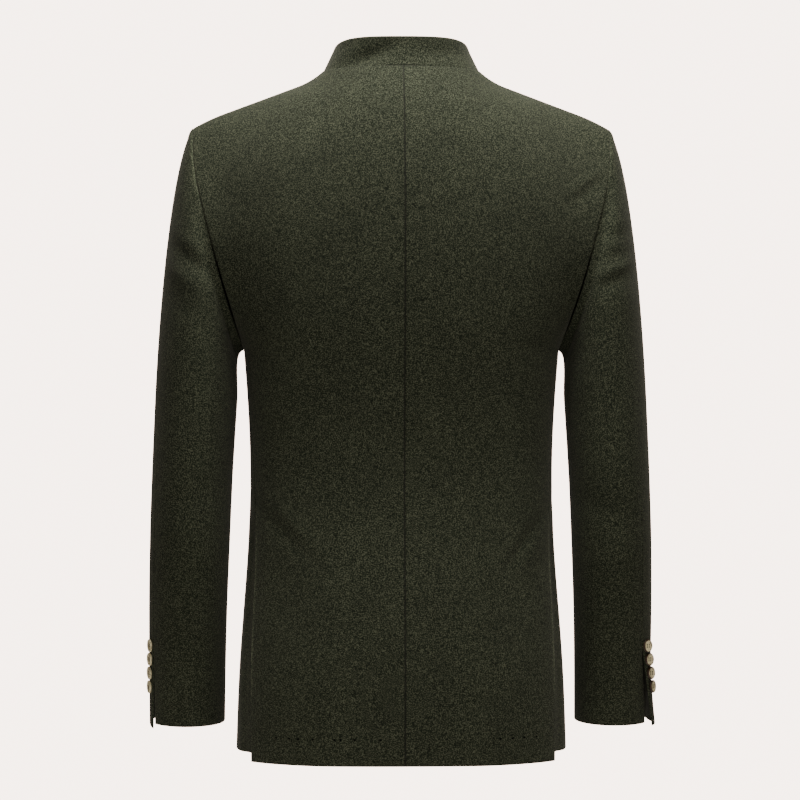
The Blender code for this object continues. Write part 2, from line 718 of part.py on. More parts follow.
for hang in SIDES:
    for part, panel in (("back", back_panel), ("front", front_panel)):
        panel_name = f"{part}_{hang.name}"
        cloth_wall(panel_name, *panel(panel_name), hang.mirror, loden)
    for half, columns in (("top", TOP_SLEEVE_COLUMNS), ("under", UNDER_SLEEVE_COLUMNS)):
        sleeve_name = f"{half}_sleeve_{hang.name}"
        cloth_wall(sleeve_name, *sleeve_panel(half, hang, columns), hang.mirror, loden)

cloth_wall("collar", *collar_panel(), 1.0, collar_wool)

for hang in SIDES:
    for number in range(CUFF_BUTTON_COUNT):
        height = CUFF_BUTTON_LOWEST + number * CUFF_BUTTON_PITCH
        along = np.array(1.0 + (height - BICEPS) / (CUFF - BICEPS))
        inset = np.degrees(CUFF_BUTTON_INSET / SLEEVE[0].half_depth)
        angle = flap_edge(hang, along) - inset
        surface = top_sleeve_surface(hang)
        face = normals(surface, angle, along, -1.0)
        button(
            f"cuff_button_{hang.name}_{number + 1}",
            CUFF_BUTTON,
            surface(angle, along),
            face,
            hang.mirror,
            staghorn,
            CUFF_BUTTON_SIDES,
        )

front = body_surface("front")
below = np.linspace(FRONT_HEM, UNDERARM, RISE_SAMPLES)
rises = np.concatenate([below, UNDERARM + np.linspace(STEP, 1.0, RISE_SAMPLES)])
front_heights = front(np.zeros_like(rises), rises)[:, 2]
for number in range(FRONT_BUTTON_COUNT):
    height = FRONT_BUTTON_TOP - number * FRONT_BUTTON_PITCH
    along = np.interp(height, front_heights, rises)
    here = np.array(0.0)
    button(
        f"front_button_{number + 1}",
        FRONT_BUTTON,
        front(here, along),
        body_normals("front", here, along),
        1.0,
        staghorn,
        FRONT_BUTTON_SIDES,
    )
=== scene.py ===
"""The looks of a trachten jacket in the hollow form it has when worn, seen from behind.

Shapes are worked out in millimetres, as the solids are, and become metres when a mesh is made.
+Z is up and the front faces -Y, so the wearer's left is +X. The origin lies midway between the
neck points. Panels are shaped for the left half, and the right half is their mirror image with
its own laps, seams and creases.
"""

from collections import namedtuple

import bmesh
import bpy
import numpy as np
from mathutils import Matrix, Vector


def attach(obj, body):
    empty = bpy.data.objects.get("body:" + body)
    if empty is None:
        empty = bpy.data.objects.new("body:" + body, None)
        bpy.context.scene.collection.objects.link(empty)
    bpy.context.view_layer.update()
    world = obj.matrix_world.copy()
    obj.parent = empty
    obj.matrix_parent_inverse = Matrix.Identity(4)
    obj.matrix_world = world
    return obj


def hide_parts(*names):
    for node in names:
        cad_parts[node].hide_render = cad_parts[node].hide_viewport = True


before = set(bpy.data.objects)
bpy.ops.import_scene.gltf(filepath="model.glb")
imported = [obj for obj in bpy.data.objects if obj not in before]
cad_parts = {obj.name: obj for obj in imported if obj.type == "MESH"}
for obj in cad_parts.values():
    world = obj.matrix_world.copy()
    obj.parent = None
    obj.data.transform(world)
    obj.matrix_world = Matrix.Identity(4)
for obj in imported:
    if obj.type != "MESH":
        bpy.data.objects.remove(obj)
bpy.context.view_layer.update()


# The view: level with the waist and a little to the wearer's left of straight behind, from so
# far off that the sleeves and the back stand at nearly the same scale.
MM = 0.001
VIEW_DISTANCE = 3750.0
VIEW_HEIGHT = -355.0
VIEW_TURN = 2.0  # degrees round from straight behind
VIEW_WIDTH = 872.0  # that the frame takes in at the jacket's middle
VIEW_SHIFT = -0.00125  # of the frame's width: one pixel in 800
SENSOR = 36.0

view_turn = np.radians(VIEW_TURN)
view = bpy.data.objects.new("view_from_behind", bpy.data.cameras.new("view_from_behind"))
view.data.sensor_width = SENSOR
view.data.lens = SENSOR * VIEW_DISTANCE / VIEW_WIDTH
view.data.shift_x = VIEW_SHIFT
behind = (VIEW_DISTANCE * np.sin(view_turn), VIEW_DISTANCE * np.cos(view_turn), VIEW_HEIGHT)
view.location = Vector(behind) * MM
view.rotation_euler = (np.pi / 2.0, 0.0, np.pi - view_turn)
bpy.context.scene.collection.objects.link(view)
bpy.context.scene.camera = view


# The stage: a round pale floor below the hem, out of the frame from behind, and an even pale
# ground. A broad light hangs overhead and weaker ones stand behind and in front.
FLOOR_HEIGHT = -1050.0
FLOOR_RADIUS = 2000.0
FLOOR_SIDES = 128
GROUND = "ffeadc"
GROUND_GLOW = 6.6
FLOOR = "e9e5e1"
AMBIENT = 0.05
SHARP_EDGE = 50.0  # degrees between two faces, past which their edge shows

Lamp = namedtuple("Lamp", "name x y height width power")
LAMPS = (
    Lamp("overhead", -60.0, 330.0, 1150.0, 800.0, 39.0),
    Lamp("behind", -120.0, 3600.0, 700.0, 2200.0, 29.0),
    Lamp("front", 0.0, -3200.0, 1200.0, 2200.0, 26.0),
)


def linear(colour):
    """An sRGB hex colour as linear red, green, blue and alpha."""
    channels = [int(colour[i : i + 2], 16) / 255.0 for i in (0, 2, 4)]
    return (*(c / 12.92 if c <= 0.04045 else ((c + 0.055) / 1.055) ** 2.4 for c in channels), 1.0)


def add_node(tree, kind, inputs, **settings):
    """One node with its settings, and its inputs set to values or linked from sockets."""
    made = tree.nodes.new(kind)
    for name, value in settings.items():
        setattr(made, name, value)
    for name, value in inputs.items():
        if isinstance(value, bpy.types.NodeSocket):
            tree.links.new(value, made.inputs[name])
        else:
            made.inputs[name].default_value = value
    return made


def new_material(name):
    """An empty material and its node tree."""
    material = bpy.data.materials.new(name)
    material.use_nodes = True
    material.node_tree.nodes.clear()
    return material, material.node_tree


def add_piece(name, mesh, material):
    mesh.materials.append(material)
    piece = bpy.data.objects.new(name, mesh)
    bpy.context.scene.collection.objects.link(piece)
    return piece


def finished_mesh(name, shape):
    """A bmesh made into a mesh, smooth but for its sharp edges."""
    mesh = bpy.data.meshes.new(name)
    shape.to_mesh(mesh)
    shape.free()
    mesh.shade_smooth()
    mesh.set_sharp_from_angle(angle=np.radians(SHARP_EDGE))
    return mesh


floor_paint, tree = new_material("matt pale studio floor")
shader = add_node(
    tree, "ShaderNodeBsdfPrincipled", {"Base Color": linear(FLOOR), "Roughness": 0.9}
)
add_node(tree, "ShaderNodeOutputMaterial", {"Surface": shader.outputs[0]})
disc = bmesh.new()
bmesh.ops.create_circle(
    disc,
    cap_ends=True,
    segments=FLOOR_SIDES,
    radius=FLOOR_RADIUS * MM,
    matrix=Matrix.Translation((0.0, 0.0, FLOOR_HEIGHT * MM)),
)
add_piece("floor", finished_mesh("floor", disc), floor_paint)

ground = bpy.data.worlds.new("pale ground")
ground.use_nodes = True
tree = ground.node_tree
tree.nodes.clear()
seen = add_node(tree, "ShaderNodeBackground", {"Color": linear(GROUND), "Strength": GROUND_GLOW})
lit = add_node(tree, "ShaderNodeBackground", {"Color": linear(GROUND), "Strength": AMBIENT})
ray = add_node(tree, "ShaderNodeLightPath", {})
both = add_node(
    tree,
    "ShaderNodeMixShader",
    {0: ray.outputs["Is Camera Ray"], 1: lit.outputs[0], 2: seen.outputs[0]},
)
add_node(tree, "ShaderNodeOutputWorld", {"Surface": both.outputs[0]})
bpy.context.scene.world = ground

for lamp in LAMPS:
    light = bpy.data.lights.new(lamp.name, "AREA")
    light.size = lamp.width * MM
    light.energy = lamp.power
    place = Vector((lamp.x, lamp.y, lamp.height)) * MM
    aim = Vector((0.0, 0.0, VIEW_HEIGHT * MM)) - place
    lamp_object = bpy.data.objects.new(lamp.name, light)
    lamp_object.location = place
    lamp_object.rotation_euler = aim.to_track_quat("-Z", "Y").to_euler()
    bpy.context.scene.collection.objects.link(lamp_object)


# The back: two panels of milled wool, sewn together down the centre and to the fronts at the
# shoulders and sides. Below the side seams they hang free over the vents, with turned edges.
CLOTH = 2.0
SEAM_GAP = -0.1  # pieces sewn edge to edge press a little into each other
UNDERARM = -300.0
BACK_HEM = -741.5
VENT_TOP = -516.0  # the side seam is sewn down to here
NECK_WIDTH = 87.0  # half the width of the neck seam
NECK_BACK = 74.0
NECK_FRONT = -80.0
NECK_SIDE_Y = 4.0
NECK_POINT_HEIGHT = -1.0
NECK_FLARE = 4.0  # rise of the shoulder line into the neck point
NECK_SHARE = 0.39  # of a panel's width at the top is neck, the rest is shoulder
NECK_BLEND = 0.3  # of the neck's reach, over which the cloth rises to the neck seam
RIDGE_ROUND = 1.5  # how roundly the shoulder lines would meet over the neck
SHOULDER_TURN = 0.75  # share of the shoulder seam after which it falls more
SHOULDER_DROP = 3.5  # and how much more
BODY_SQUARENESS = 2.5
YOKE_PULL = 285.0  # how stiffly the upper body carries on from the underarm ring
YOKE_LENGTH = 360.0  # of a panel above the underarm, for the spacing of its rows
HEM_TURN = 27.0  # height of the turned-up hem
HEM_PICK = (1.3, 1.1, 0.6)  # half sizes of the pick of thread where a blind stitch shows, drawn near-black as painted shade of its dimple
BEAD_SIDES = 10
BEAD_RINGS = 6

# Grid lines lie close together along every edge, where the cloth turns over its own thickness.
EDGE_LINES = (0.0, 0.2, 0.5, 0.9, 1.5, 3.0)
EDGE_TURN = 1.7
EDGE_SINK = 1.25  # that the face turns down along an edge
EDGE_RISE = 0.6  # that the inside turns up there
PANEL_COLUMNS = 84
SKIRT_ROWS = 120
YOKE_ROWS = 96
FINE = 300  # points on which a line's length is measured
NECK_SAMPLES = 50
NECK_CUT_LOWEST = 0.5
NECK_MARGIN = 15.0  # degrees past the centre to which the neck cut is found
STEP = 1e-3  # for slopes taken by differences

# Level sections of the body. The seam angle runs from centre back to the side seam.
Section = namedtuple("Section", "height half_width back front side_y seam_angle")
BODY = (
    Section(-745.0, 179.5, 128.0, -133.0, 2.0, 62.5),
    Section(-640.0, 175.5, 130.0, -135.0, 2.0, 66.0),
    Section(-540.0, 168.2, 120.0, -130.0, 2.0, 70.0),
    Section(-437.0, 164.0, 108.0, -124.0, 3.0, 75.0),
    Section(-362.0, 166.5, 114.0, -130.0, 4.0, 82.0),
    Section(UNDERARM, 171.0, 124.0, -137.0, 5.0, 90.0),
)

# How the upper body leaves the shoulder line at the centre, the neck points and the armholes.
Fall = namedtuple("Fall", "centre centre_rise power neck neck_rise armhole armhole_rise")
FALL = {
    "back": Fall(420.0, -67.0, 3.0, 375.0, 5.0, 200.0, 15.0),
    "front": Fall(165.0, -88.0, 1.0, 300.0, 15.0, 210.0, 15.0),
}

# Heights of the neck seam, by angle round it from centre back.
NECK_SEAM = (
    (0.0, 3.0),
    (45.0, 2.4),
    (90.0, NECK_POINT_HEIGHT),
    (135.0, -29.0),
    (180.0, -68.0),
    (225.0, -29.0),
    (270.0, NECK_POINT_HEIGHT),
    (315.0, 2.4),
)

# The armhole seam, by angle round it from the shoulder point by way of the back.
Station = namedtuple("Station", "angle x y height")
ARMHOLE = (
    Station(0.0, 226.0, 4.0, -60.0),
    Station(40.0, 224.0, 40.0, -106.0),
    Station(75.0, 213.0, 61.0, -158.0),
    Station(110.0, 197.0, 66.0, -216.0),
    Station(145.0, 181.0, 46.0, -268.0),
    Station(180.0, 171.0, 5.0, UNDERARM),
    Station(215.0, 176.0, -36.0, -276.0),
    Station(250.0, 187.0, -58.0, -228.0),
    Station(285.0, 199.0, -60.0, -166.0),
    Station(320.0, 216.0, -38.0, -106.0),
)

# Folds and creases as soft ridges (depth above 0) and troughs. On a sleeve the place is an angle
# round it, on the body it is a distance from the centre. The slope tilts the crease.
Crease = namedtuple("Crease", "piece place height half_length half_height slope depth")
CREASES = [
    Crease("back_left", 128.0, -560.0, 26.0, 60.0, 0.5, -4.0),
    Crease("back_right", 124.0, -556.0, 26.0, 60.0, 0.5, -4.0),
    Crease("back_left", 92.0, -690.0, 34.0, 90.0, 0.0, 3.0),
    Crease("back_right", 88.0, -690.0, 34.0, 90.0, 0.0, 3.0),
    Crease("back_left", 194.0, -133.0, 20.0, 30.0, 0.0, -1.6),
    Crease("back_right", 200.0, -117.0, 18.0, 6.0, 0.7, 1.1),
    Crease("back_right", 196.0, -134.0, 20.0, 9.0, 0.7, -1.3),
    Crease("back_left", 130.0, -496.0, 28.0, 12.0, 0.95, -2.4),
    Crease("back_left", 112.0, -492.0, 24.0, 10.0, 0.95, 1.0),
    Crease("back_right", 130.0, -506.0, 22.0, 9.0, 1.28, -2.6),
    Crease("back_right", 138.0, -520.0, 18.0, 9.0, 1.28, 1.0),
    Crease("back_right", 74.0, -678.0, 20.0, 18.0, 0.0, -1.8),
    Crease("back_right", 8.0, -715.0, 3.5, 26.0, 0.0, -0.5),
]
SHINE_END = -690.0  # a painted highlight runs along the vents' folded edges down to here
SHINE_FADE = 60.0
VENT_SHINE = 1.8  # how strong that painted highlight is
VENT_SHINE_WIDTH = 3.6
SEAM_SHADE = 0.6  # painted shade: how dark the groove of the centre back and neck seams is painted
SEAM_WIDTH = 0.8
HEM_STITCHES = {
    "back_left": (27.0, 54.0, 69.0, 75.0, 98.0, 113.0, 122.0, 136.0),
    "back_right": (101.0, 114.0, 127.0, 141.0),
}


def unit(vectors):
    return vectors / np.linalg.norm(vectors, axis=-1, keepdims=True)


def smooth(share):
    """0 below 0, 1 above 1, with a soft start and end between them."""
    share = np.clip(share, 0.0, 1.0)
    return share * share * (3.0 - 2.0 * share)


def spline(table):
    """The natural cubic curve through a table's rows, read by their first column."""
    rows = np.array(table, float)
    knots, values = rows[:, 0], rows[:, 1:]
    gap = np.diff(knots)
    slope = np.diff(values, axis=0) / gap[:, None]
    system = np.eye(len(knots))
    wanted = np.zeros_like(values)
    for i in range(1, len(knots) - 1):
        system[i, i - 1 : i + 2] = gap[i - 1], 2.0 * (gap[i - 1] + gap[i]), gap[i]
        wanted[i] = 6.0 * (slope[i] - slope[i - 1])
    bend = np.linalg.solve(system, wanted)

    def at(place):
        place = np.asarray(place, float)
        i = np.clip(np.searchsorted(knots, place) - 1, 0, len(gap) - 1)
        span = gap[i][..., None]
        near = (knots[i + 1] - place)[..., None] / span
        far = 1.0 - near
        curve = (near**3 - near) * bend[i] + (far**3 - far) * bend[i + 1]
        return near * values[i] + far * values[i + 1] + curve * span**2 / 6.0

    return at


def round_spline(table):
    """The same for a table that goes once round, in degrees."""
    turns = [(row[0] + turn, *row[1:]) for turn in (-360.0, 0.0, 360.0) for row in table]
    at = spline(turns)
    return lambda angle: at(np.mod(angle, 360.0))


body_section = spline(BODY)
armhole = round_spline(ARMHOLE)
neck_seam = round_spline(NECK_SEAM)


def hermite(start, start_pull, end, end_pull, share):
    """A curve between two points that leaves and arrives along the pulls."""
    share = share[..., None]
    rise = share * share * (3.0 - 2.0 * share)
    leave = share * (1.0 - share) ** 2
    arrive = share * share * (share - 1.0)
    return start + (end - start) * rise + start_pull * leave + end_pull * arrive


def normals(surface, across, along, sense):
    """Outward unit normals of a surface with two running values."""
    run = surface(across + STEP, along) - surface(across - STEP, along)
    rise = surface(across, along + STEP) - surface(across, along - STEP)
    return sense * unit(np.cross(run, rise))


def body_ring(height, angle):
    """A rounded level section; the angle runs from centre back by way of the left side."""
    half_width, back, front, side_y, _ = np.moveaxis(body_section(height), -1, 0)
    turn = np.radians(angle)
    power = 2.0 / BODY_SQUARENESS
    sine, cosine = np.sin(turn), np.cos(turn)
    depth = np.where(cosine > 0.0, back - side_y, side_y - front)
    x = half_width * np.sign(sine) * np.abs(sine) ** power
    y = side_y + depth * np.sign(cosine) * np.abs(cosine) ** power
    return np.stack([x, y, height + 0.0 * x], axis=-1)


def panel_angle(part, share, height):
    seam = body_section(height)[..., 4]
    if part == "back":
        return share * seam
    return 180.0 - share * (180.0 - seam)


def neck_angle(point):
    """Degrees round the neck from centre back, -90 to 270, and how far out a point lies."""
    reach = np.where(point[..., 1] > NECK_SIDE_Y, NECK_BACK - NECK_SIDE_Y, NECK_SIDE_Y - NECK_FRONT)
    across = point[..., 0] / NECK_WIDTH
    back = (point[..., 1] - NECK_SIDE_Y) / reach
    angle = np.degrees(np.arctan2(across, back))
    return np.mod(angle + 90.0, 360.0) - 90.0, np.hypot(across, back)


def ridge(share):
    """The shoulder line, which runs on over the neck and is rounded at the centre."""
    tip = armhole(0.0)
    reach = np.abs(share) / NECK_SHARE
    out = (np.abs(share) - NECK_SHARE) / (1.0 - NECK_SHARE)
    fall = np.maximum(out - SHOULDER_TURN, 0.0) / (1.0 - SHOULDER_TURN)
    start = NECK_POINT_HEIGHT - NECK_FLARE
    slope = tip[2] + SHOULDER_DROP - start
    shoulder = start + slope * out - SHOULDER_DROP * fall**2
    shoulder_x = NECK_WIDTH + (tip[0] - NECK_WIDTH) * out
    steepness = slope / (tip[0] - NECK_WIDTH) * NECK_WIDTH
    over_neck = start - steepness * (1.0 - reach**RIDGE_ROUND) / RIDGE_ROUND
    on_shoulder = out > 0.0
    x = np.where(on_shoulder, shoulder_x, NECK_WIDTH * share / NECK_SHARE)
    height = np.where(on_shoulder, shoulder, over_neck)
    return np.stack([x, NECK_SIDE_Y + 0.0 * x, height], axis=-1)


def dome(part, share, rise):
    """The upper body without a neck hole, from the underarm ring up to the shoulder line."""
    sense = 1.0 if part == "back" else -1.0
    fall = FALL[part]

    def bare(share):
        level = np.full_like(share, UNDERARM)
        angle = panel_angle(part, share, level)
        low = body_ring(level, angle)
        low_pull = (low - body_ring(level - STEP, angle)) / STEP * YOKE_PULL
        reach = np.abs(share)
        to_neck = np.minimum(reach / NECK_SHARE, 1.0)
        to_armhole = smooth((reach - NECK_SHARE) / (1.0 - NECK_SHARE))
        level_run = fall.centre + (fall.neck - fall.centre) * smooth(to_neck)
        level_run = level_run + (fall.armhole - fall.neck) * to_armhole
        held = smooth(to_neck**fall.power)
        rise_run = fall.centre_rise + (fall.neck_rise - fall.centre_rise) * held
        rise_run = rise_run + (fall.armhole_rise - fall.neck_rise) * to_armhole
        pull = np.stack([0.0 * reach, -sense * level_run, rise_run], axis=-1)
        return hermite(low, low_pull, ridge(share), pull, rise)

    edge = armhole(180.0 * (1.0 - sense * rise))
    return bare(share) + np.abs(share[..., None]) ** 3 * (edge - bare(np.ones_like(share)))


def neck_shares():
    """Shares of a panel's width in even steps round the neck, from a little past the centre."""
    return NECK_SHARE * np.sin(np.radians(np.linspace(-NECK_MARGIN, 90.0, NECK_SAMPLES)))


def neck_cut(part):
    """The rise at which the neck seam cuts the dome, as a curve over the panel's width."""
    rises = np.linspace(NECK_CUT_LOWEST, 1.0, FINE)
    found = []
    for share in neck_shares():
        out = neck_angle(dome(part, np.full_like(rises, share), rises))[1]
        found.append(np.interp(-1.0, -out, rises))
    return spline(list(zip(neck_shares(), found)))


neck_cuts = {"back": neck_cut("back"), "front": neck_cut("front")}


def neck_lift(part):
    """How much higher the neck seam lies than the dome where it cuts it, by angle round it."""
    edge = dome(part, neck_shares(), neck_cuts[part](neck_shares())[..., 0])
    angle = neck_angle(edge)[0]
    missing = neck_seam(angle)[..., 0] - edge[..., 2]
    return spline(sorted(zip(angle, missing)))


neck_lifts = {"back": neck_lift("back"), "front": neck_lift("front")}


def yoke(part, share, rise):
    """The dome with the cloth round the neck brought to the neck seam's height."""
    point = dome(part, share, rise)
    angle, out = neck_angle(point)
    angle = np.minimum(angle, 90.0) if part == "back" else np.maximum(angle, 90.0)
    near = np.clip(1.0 - (out - 1.0) / NECK_BLEND, 0.0, 1.0)
    point[..., 2] += neck_lifts[part](angle)[..., 0] * near**2
    return point


def to_neck_seam(part, share, along):
    """Draws the rows above the underarm down, so that the last of them is the neck seam."""
    top = neck_cuts[part](np.minimum(share, NECK_SHARE))[..., 0]
    top = np.where(share < NECK_SHARE, top, 1.0)
    return np.where(along > UNDERARM, UNDERARM + (along - UNDERARM) * top, along)


def body_surface(part):
    """The face of a left panel; along is a height up to the underarm, then UNDERARM + rise."""

    def at(share, along):
        share, along = np.broadcast_arrays(share, along)
        height = np.minimum(along, UNDERARM)
        low = body_ring(height, panel_angle(part, share, height))
        high = yoke(part, share, np.maximum(along - UNDERARM, 0.0))
        return np.where((along > UNDERARM)[..., None], high, low)

    return at


def body_normals(part, share, along):
    """Outward normals of a left panel. The underarm row takes them from just below it."""
    low = np.where(np.abs(along - UNDERARM) < STEP, UNDERARM - 2.0 * STEP, along)
    return normals(body_surface(part), share, low, -1.0 if part == "back" else 1.0)


def crease_height(piece, place, height):
    """How far the creases of a piece lift its face at the given places."""
    lift = np.zeros_like(height)
    for crease in CREASES:
        if crease.piece == piece:
            beside = (place - crease.place) / crease.half_length
            above = height - crease.height - crease.slope * (place - crease.place)
            lift += crease.depth * np.exp(-(beside**2) - (above / crease.half_height) ** 2)
    return lift


def edge_turn(distance):
    """How far the cloth has turned over at a distance from its edge, from 0 to 1."""
    inside = np.clip(1.0 - distance / EDGE_TURN, 0.0, 1.0)
    return 1.0 - np.sqrt(1.0 - inside**2)


def spread(length, columns):
    """Distances along a line: close together at its two ends and even between them."""
    near = np.array(EDGE_LINES)
    middle = np.linspace(near[-1], length - near[-1], columns + 1)[1:-1]
    return np.concatenate([near, middle, length - near[::-1]])


def grid_lines(surface, first, last, along, columns):
    """Where the grid lines cross each row of a panel, and how far they lie from its edges."""
    share = np.linspace(0.0, 1.0, FINE)
    line = surface(first[:, None] + (last - first)[:, None] * share, along[:, None])
    run = np.cumsum(np.linalg.norm(np.diff(line, axis=1), axis=-1), axis=1)
    run = np.pad(run, ((0, 0), (1, 0)))
    places = np.stack([spread(length, columns) for length in run[:, -1] - SEAM_GAP])
    found = np.stack([np.interp(p + SEAM_GAP / 2.0, r, share) for p, r in zip(places, run)])
    across = first[:, None] + (last - first)[:, None] * found
    return across, np.minimum(places, places[:, -1:] - places)


def panel_rows(hem):
    """Heights from the hem to the underarm, then the yoke's rows."""
    near = np.array(EDGE_LINES)
    skirt = np.linspace(hem + near[-1], UNDERARM, SKIRT_ROWS + 1)[1:]
    rise = np.linspace(0.0, 1.0 - near[-1] / YOKE_LENGTH, YOKE_ROWS + 1)[1:]
    last = 1.0 - (near[-2::-1] + SEAM_GAP / 2.0) / YOKE_LENGTH
    return np.concatenate([hem + near, skirt, UNDERARM + rise, UNDERARM + last])


def row_edges(rows, hem):
    """How far each row lies from the hem or from the seam at the top."""
    return np.minimum(rows - hem, (rows[-1] - rows) * YOKE_LENGTH)


def level_shoulder(face, share, rows):
    """Turns the top rows' normals square to the shoulder seam, so that both panels meet flush."""
    near = np.clip(1.0 - (rows[-1] - rows) * YOKE_LENGTH / EDGE_LINES[-1], 0.0, 1.0)
    seam = np.where(share >= NECK_SHARE, near[:, None], 0.0)
    face[..., 1] *= 1.0 - seam
    return unit(face)


def cloth_piece(name, points, face, edges, painted_light, thickness, mirror, material):
    """A sheet with both faces, laid on a grid and turned over its thickness along its edges."""
    rows, columns = edges.shape
    turned = edge_turn(edges)[..., None]
    side = np.array([mirror, 1.0, 1.0]) * MM
    outer = (points - face * EDGE_SINK * turned) * side
    inner = (points - face * (thickness - EDGE_RISE * turned)) * side
    sheet = bmesh.new()
    # The inside faces are marked for painted shade, and each point carries its painted highlight or
    # painted seam shade.
    reverse = sheet.verts.layers.float.new("reverse")
    painted_light_layer = sheet.verts.layers.float.new("painted_light")
    bmesh.ops.create_grid(sheet, x_segments=columns - 1, y_segments=rows - 1, size=1.0)
    made = bmesh.ops.extrude_face_region(sheet, geom=sheet.faces[:])
    raised = {vertex for vertex in made["geom"] if isinstance(vertex, bmesh.types.BMVert)}
    for vertex in sheet.verts:
        column = round((vertex.co.x + 1.0) / 2.0 * (columns - 1))
        row = round((vertex.co.y + 1.0) / 2.0 * (rows - 1))
        vertex.co = Vector((outer if vertex in raised else inner)[row, column])
        vertex[reverse] = 0.0 if vertex in raised else 1.0
        vertex[painted_light_layer] = painted_light[row, column]
    bmesh.ops.recalc_face_normals(sheet, faces=sheet.faces[:])
    piece = add_piece(name, finished_mesh(name, sheet), material)
    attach(piece, "root")
    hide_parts(name.removesuffix("_cloth"))
    return piece


WOOL_TONES = ("151a0e", "2b3022", "585a46")  # of its dark, middle and pale fibres
INSIDE_PAINTED_SHADE = 0.4  # painted shade on the inside of the cloth: this share of the face's brightness is left there
PAINTED_LIGHT_GAIN = 2.2  # times as bright as the rest where a painted highlight is full; below zero it paints the seams' shade


def milled_wool(name):
    """Milled melange wool: dyed fibres of three tones mixed before spinning, then felted and
    brushed, so the weave is hidden and a short nap catches the light at the edges.
    """
    fleck = 1.05 * MM  # drawn coarser than the fibres, which are too fine to show
    lock = 3.2 * MM
    cloud = 45.0 * MM
    nap = 0.9 * MM
    material, tree = new_material(name)
    place = add_node(tree, "ShaderNodeTexCoord", {}).outputs["Object"]
    flecks = add_node(
        tree, "ShaderNodeTexNoise", {"Vector": place, "Scale": 1.0 / fleck, "Detail": 2.0}
    )
    locks = add_node(
        tree, "ShaderNodeTexNoise", {"Vector": place, "Scale": 1.0 / lock, "Detail": 3.0}
    )
    clouds = add_node(
        tree, "ShaderNodeTexNoise", {"Vector": place, "Scale": 1.0 / cloud, "Detail": 2.0}
    )
    mixed = add_node(
        tree,
        "ShaderNodeMix",
        {"Factor": 0.12, "A": flecks.outputs[0], "B": locks.outputs[0]},
        data_type="FLOAT",
    )
    fibres = add_node(tree, "ShaderNodeValToRGB", {"Fac": mixed.outputs["Result"]})
    ramp = fibres.color_ramp
    dark, middle, pale = WOOL_TONES
    ramp.elements[0].position = 0.4
    ramp.elements[0].color = linear(dark)
    ramp.elements[1].position = 0.61
    ramp.elements[1].color = linear(pale)
    ramp.elements.new(0.5).color = linear(middle)
    shade = add_node(
        tree,
        "ShaderNodeMapRange",
        {
            "Value": clouds.outputs[0],
            "From Min": 0.3,
            "From Max": 0.7,
            "To Min": 0.92,
            "To Max": 1.08,
        },
    )
    # Painted shade: the inside faces of the cloth are darkened.
    reverse = add_node(tree, "ShaderNodeAttribute", {}, attribute_name="reverse")
    inside_painted_shade = add_node(
        tree,
        "ShaderNodeMapRange",
        {"Value": reverse.outputs["Fac"], "To Min": 1.0, "To Max": INSIDE_PAINTED_SHADE},
    )
    # Painted light: highlights along edges above 0 and shade in seam grooves below 0, read from a
    # vertex attribute.
    painted_light = add_node(tree, "ShaderNodeAttribute", {}, attribute_name="painted_light")
    painted_light_tone = add_node(
        tree,
        "ShaderNodeMapRange",
        {"Value": painted_light.outputs["Fac"], "To Min": 1.0, "To Max": PAINTED_LIGHT_GAIN},
        clamp=False,
    )
    painted_light_factor = add_node(
        tree,
        "ShaderNodeMath",
        {0: inside_painted_shade.outputs[0], 1: painted_light_tone.outputs[0]},
        operation="MULTIPLY",
    )
    value = add_node(
        tree, "ShaderNodeMath", {0: shade.outputs[0], 1: painted_light_factor.outputs[0]}, operation="MULTIPLY"
    )
    colour = add_node(
        tree, "ShaderNodeHueSaturation", {"Color": fibres.outputs[0], "Value": value.outputs[0]}
    )
    fuzz = add_node(
        tree, "ShaderNodeTexNoise", {"Vector": place, "Scale": 1.0 / nap, "Detail": 3.0}
    )
    bump = add_node(
        tree, "ShaderNodeBump", {"Height": fuzz.outputs[0], "Strength": 0.6, "Distance": 0.25 * MM}
    )
    shader = add_node(
        tree,
        "ShaderNodeBsdfPrincipled",
        {
            "Base Color": colour.outputs[0],
            "Roughness": 0.92,
            "IOR": 1.4,
            "Specular IOR Level": 0.25,
            "Sheen Weight": 0.2,
            "Sheen Roughness": 0.45,
            "Sheen Tint": linear("b8b4a4"),
            "Normal": bump.outputs[0],
        },
    )
    add_node(tree, "ShaderNodeOutputMaterial", {"Surface": shader.outputs[0]})
    return material


loden = milled_wool("dark olive milled wool")

# The two sides hang a little differently: where the hind-arm seam of the sleeve lies, how far
# the buttoned flap of the cuff vent draws back from it at the cuff, and how far it stands out.
Hang = namedtuple("Hang", "name mirror hind_seam flap_back flap_lift")
SIDES = (
    Hang("left", 1.0, 31.0, 3.4, 1.6),
    Hang("right", -1.0, 49.0, 8.0, 12.5),
)


def cut_surface(part):
    """A panel's face with its rows drawn down to the neck seam."""
    at = body_surface(part)
    return lambda share, along: at(share, to_neck_seam(part, share, along))


def bead(shape, place, half):
    """A small flattened ball, such as a pick of thread or a dark disc painted as the shade in a
    hole.
    """
    size = Matrix.Diagonal((*half, 1.0))
    bmesh.ops.create_uvsphere(
        shape, u_segments=BEAD_SIDES, v_segments=BEAD_RINGS, radius=1.0, matrix=place @ size
    )


def hem_picks(name, points, faces, mirror):
    """Short picks of thread that lie in the cloth, level and along its face, near-black as painted
    shade of the dimples they press in.
    """
    thread = bmesh.new()
    for point, face in zip(points, faces):
        turn = Vector(face).to_track_quat("Z", "Y").to_matrix().to_4x4()
        bead(thread, Matrix.Translation(Vector(point)) @ turn, HEM_PICK)
    thread.transform(Matrix.Scale(MM, 4) @ Matrix.Diagonal((mirror, 1.0, 1.0, 1.0)))
    bmesh.ops.recalc_face_normals(thread, faces=thread.faces[:])
    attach(add_piece(name, finished_mesh(name, thread), thread_and_painted_shade), "root")


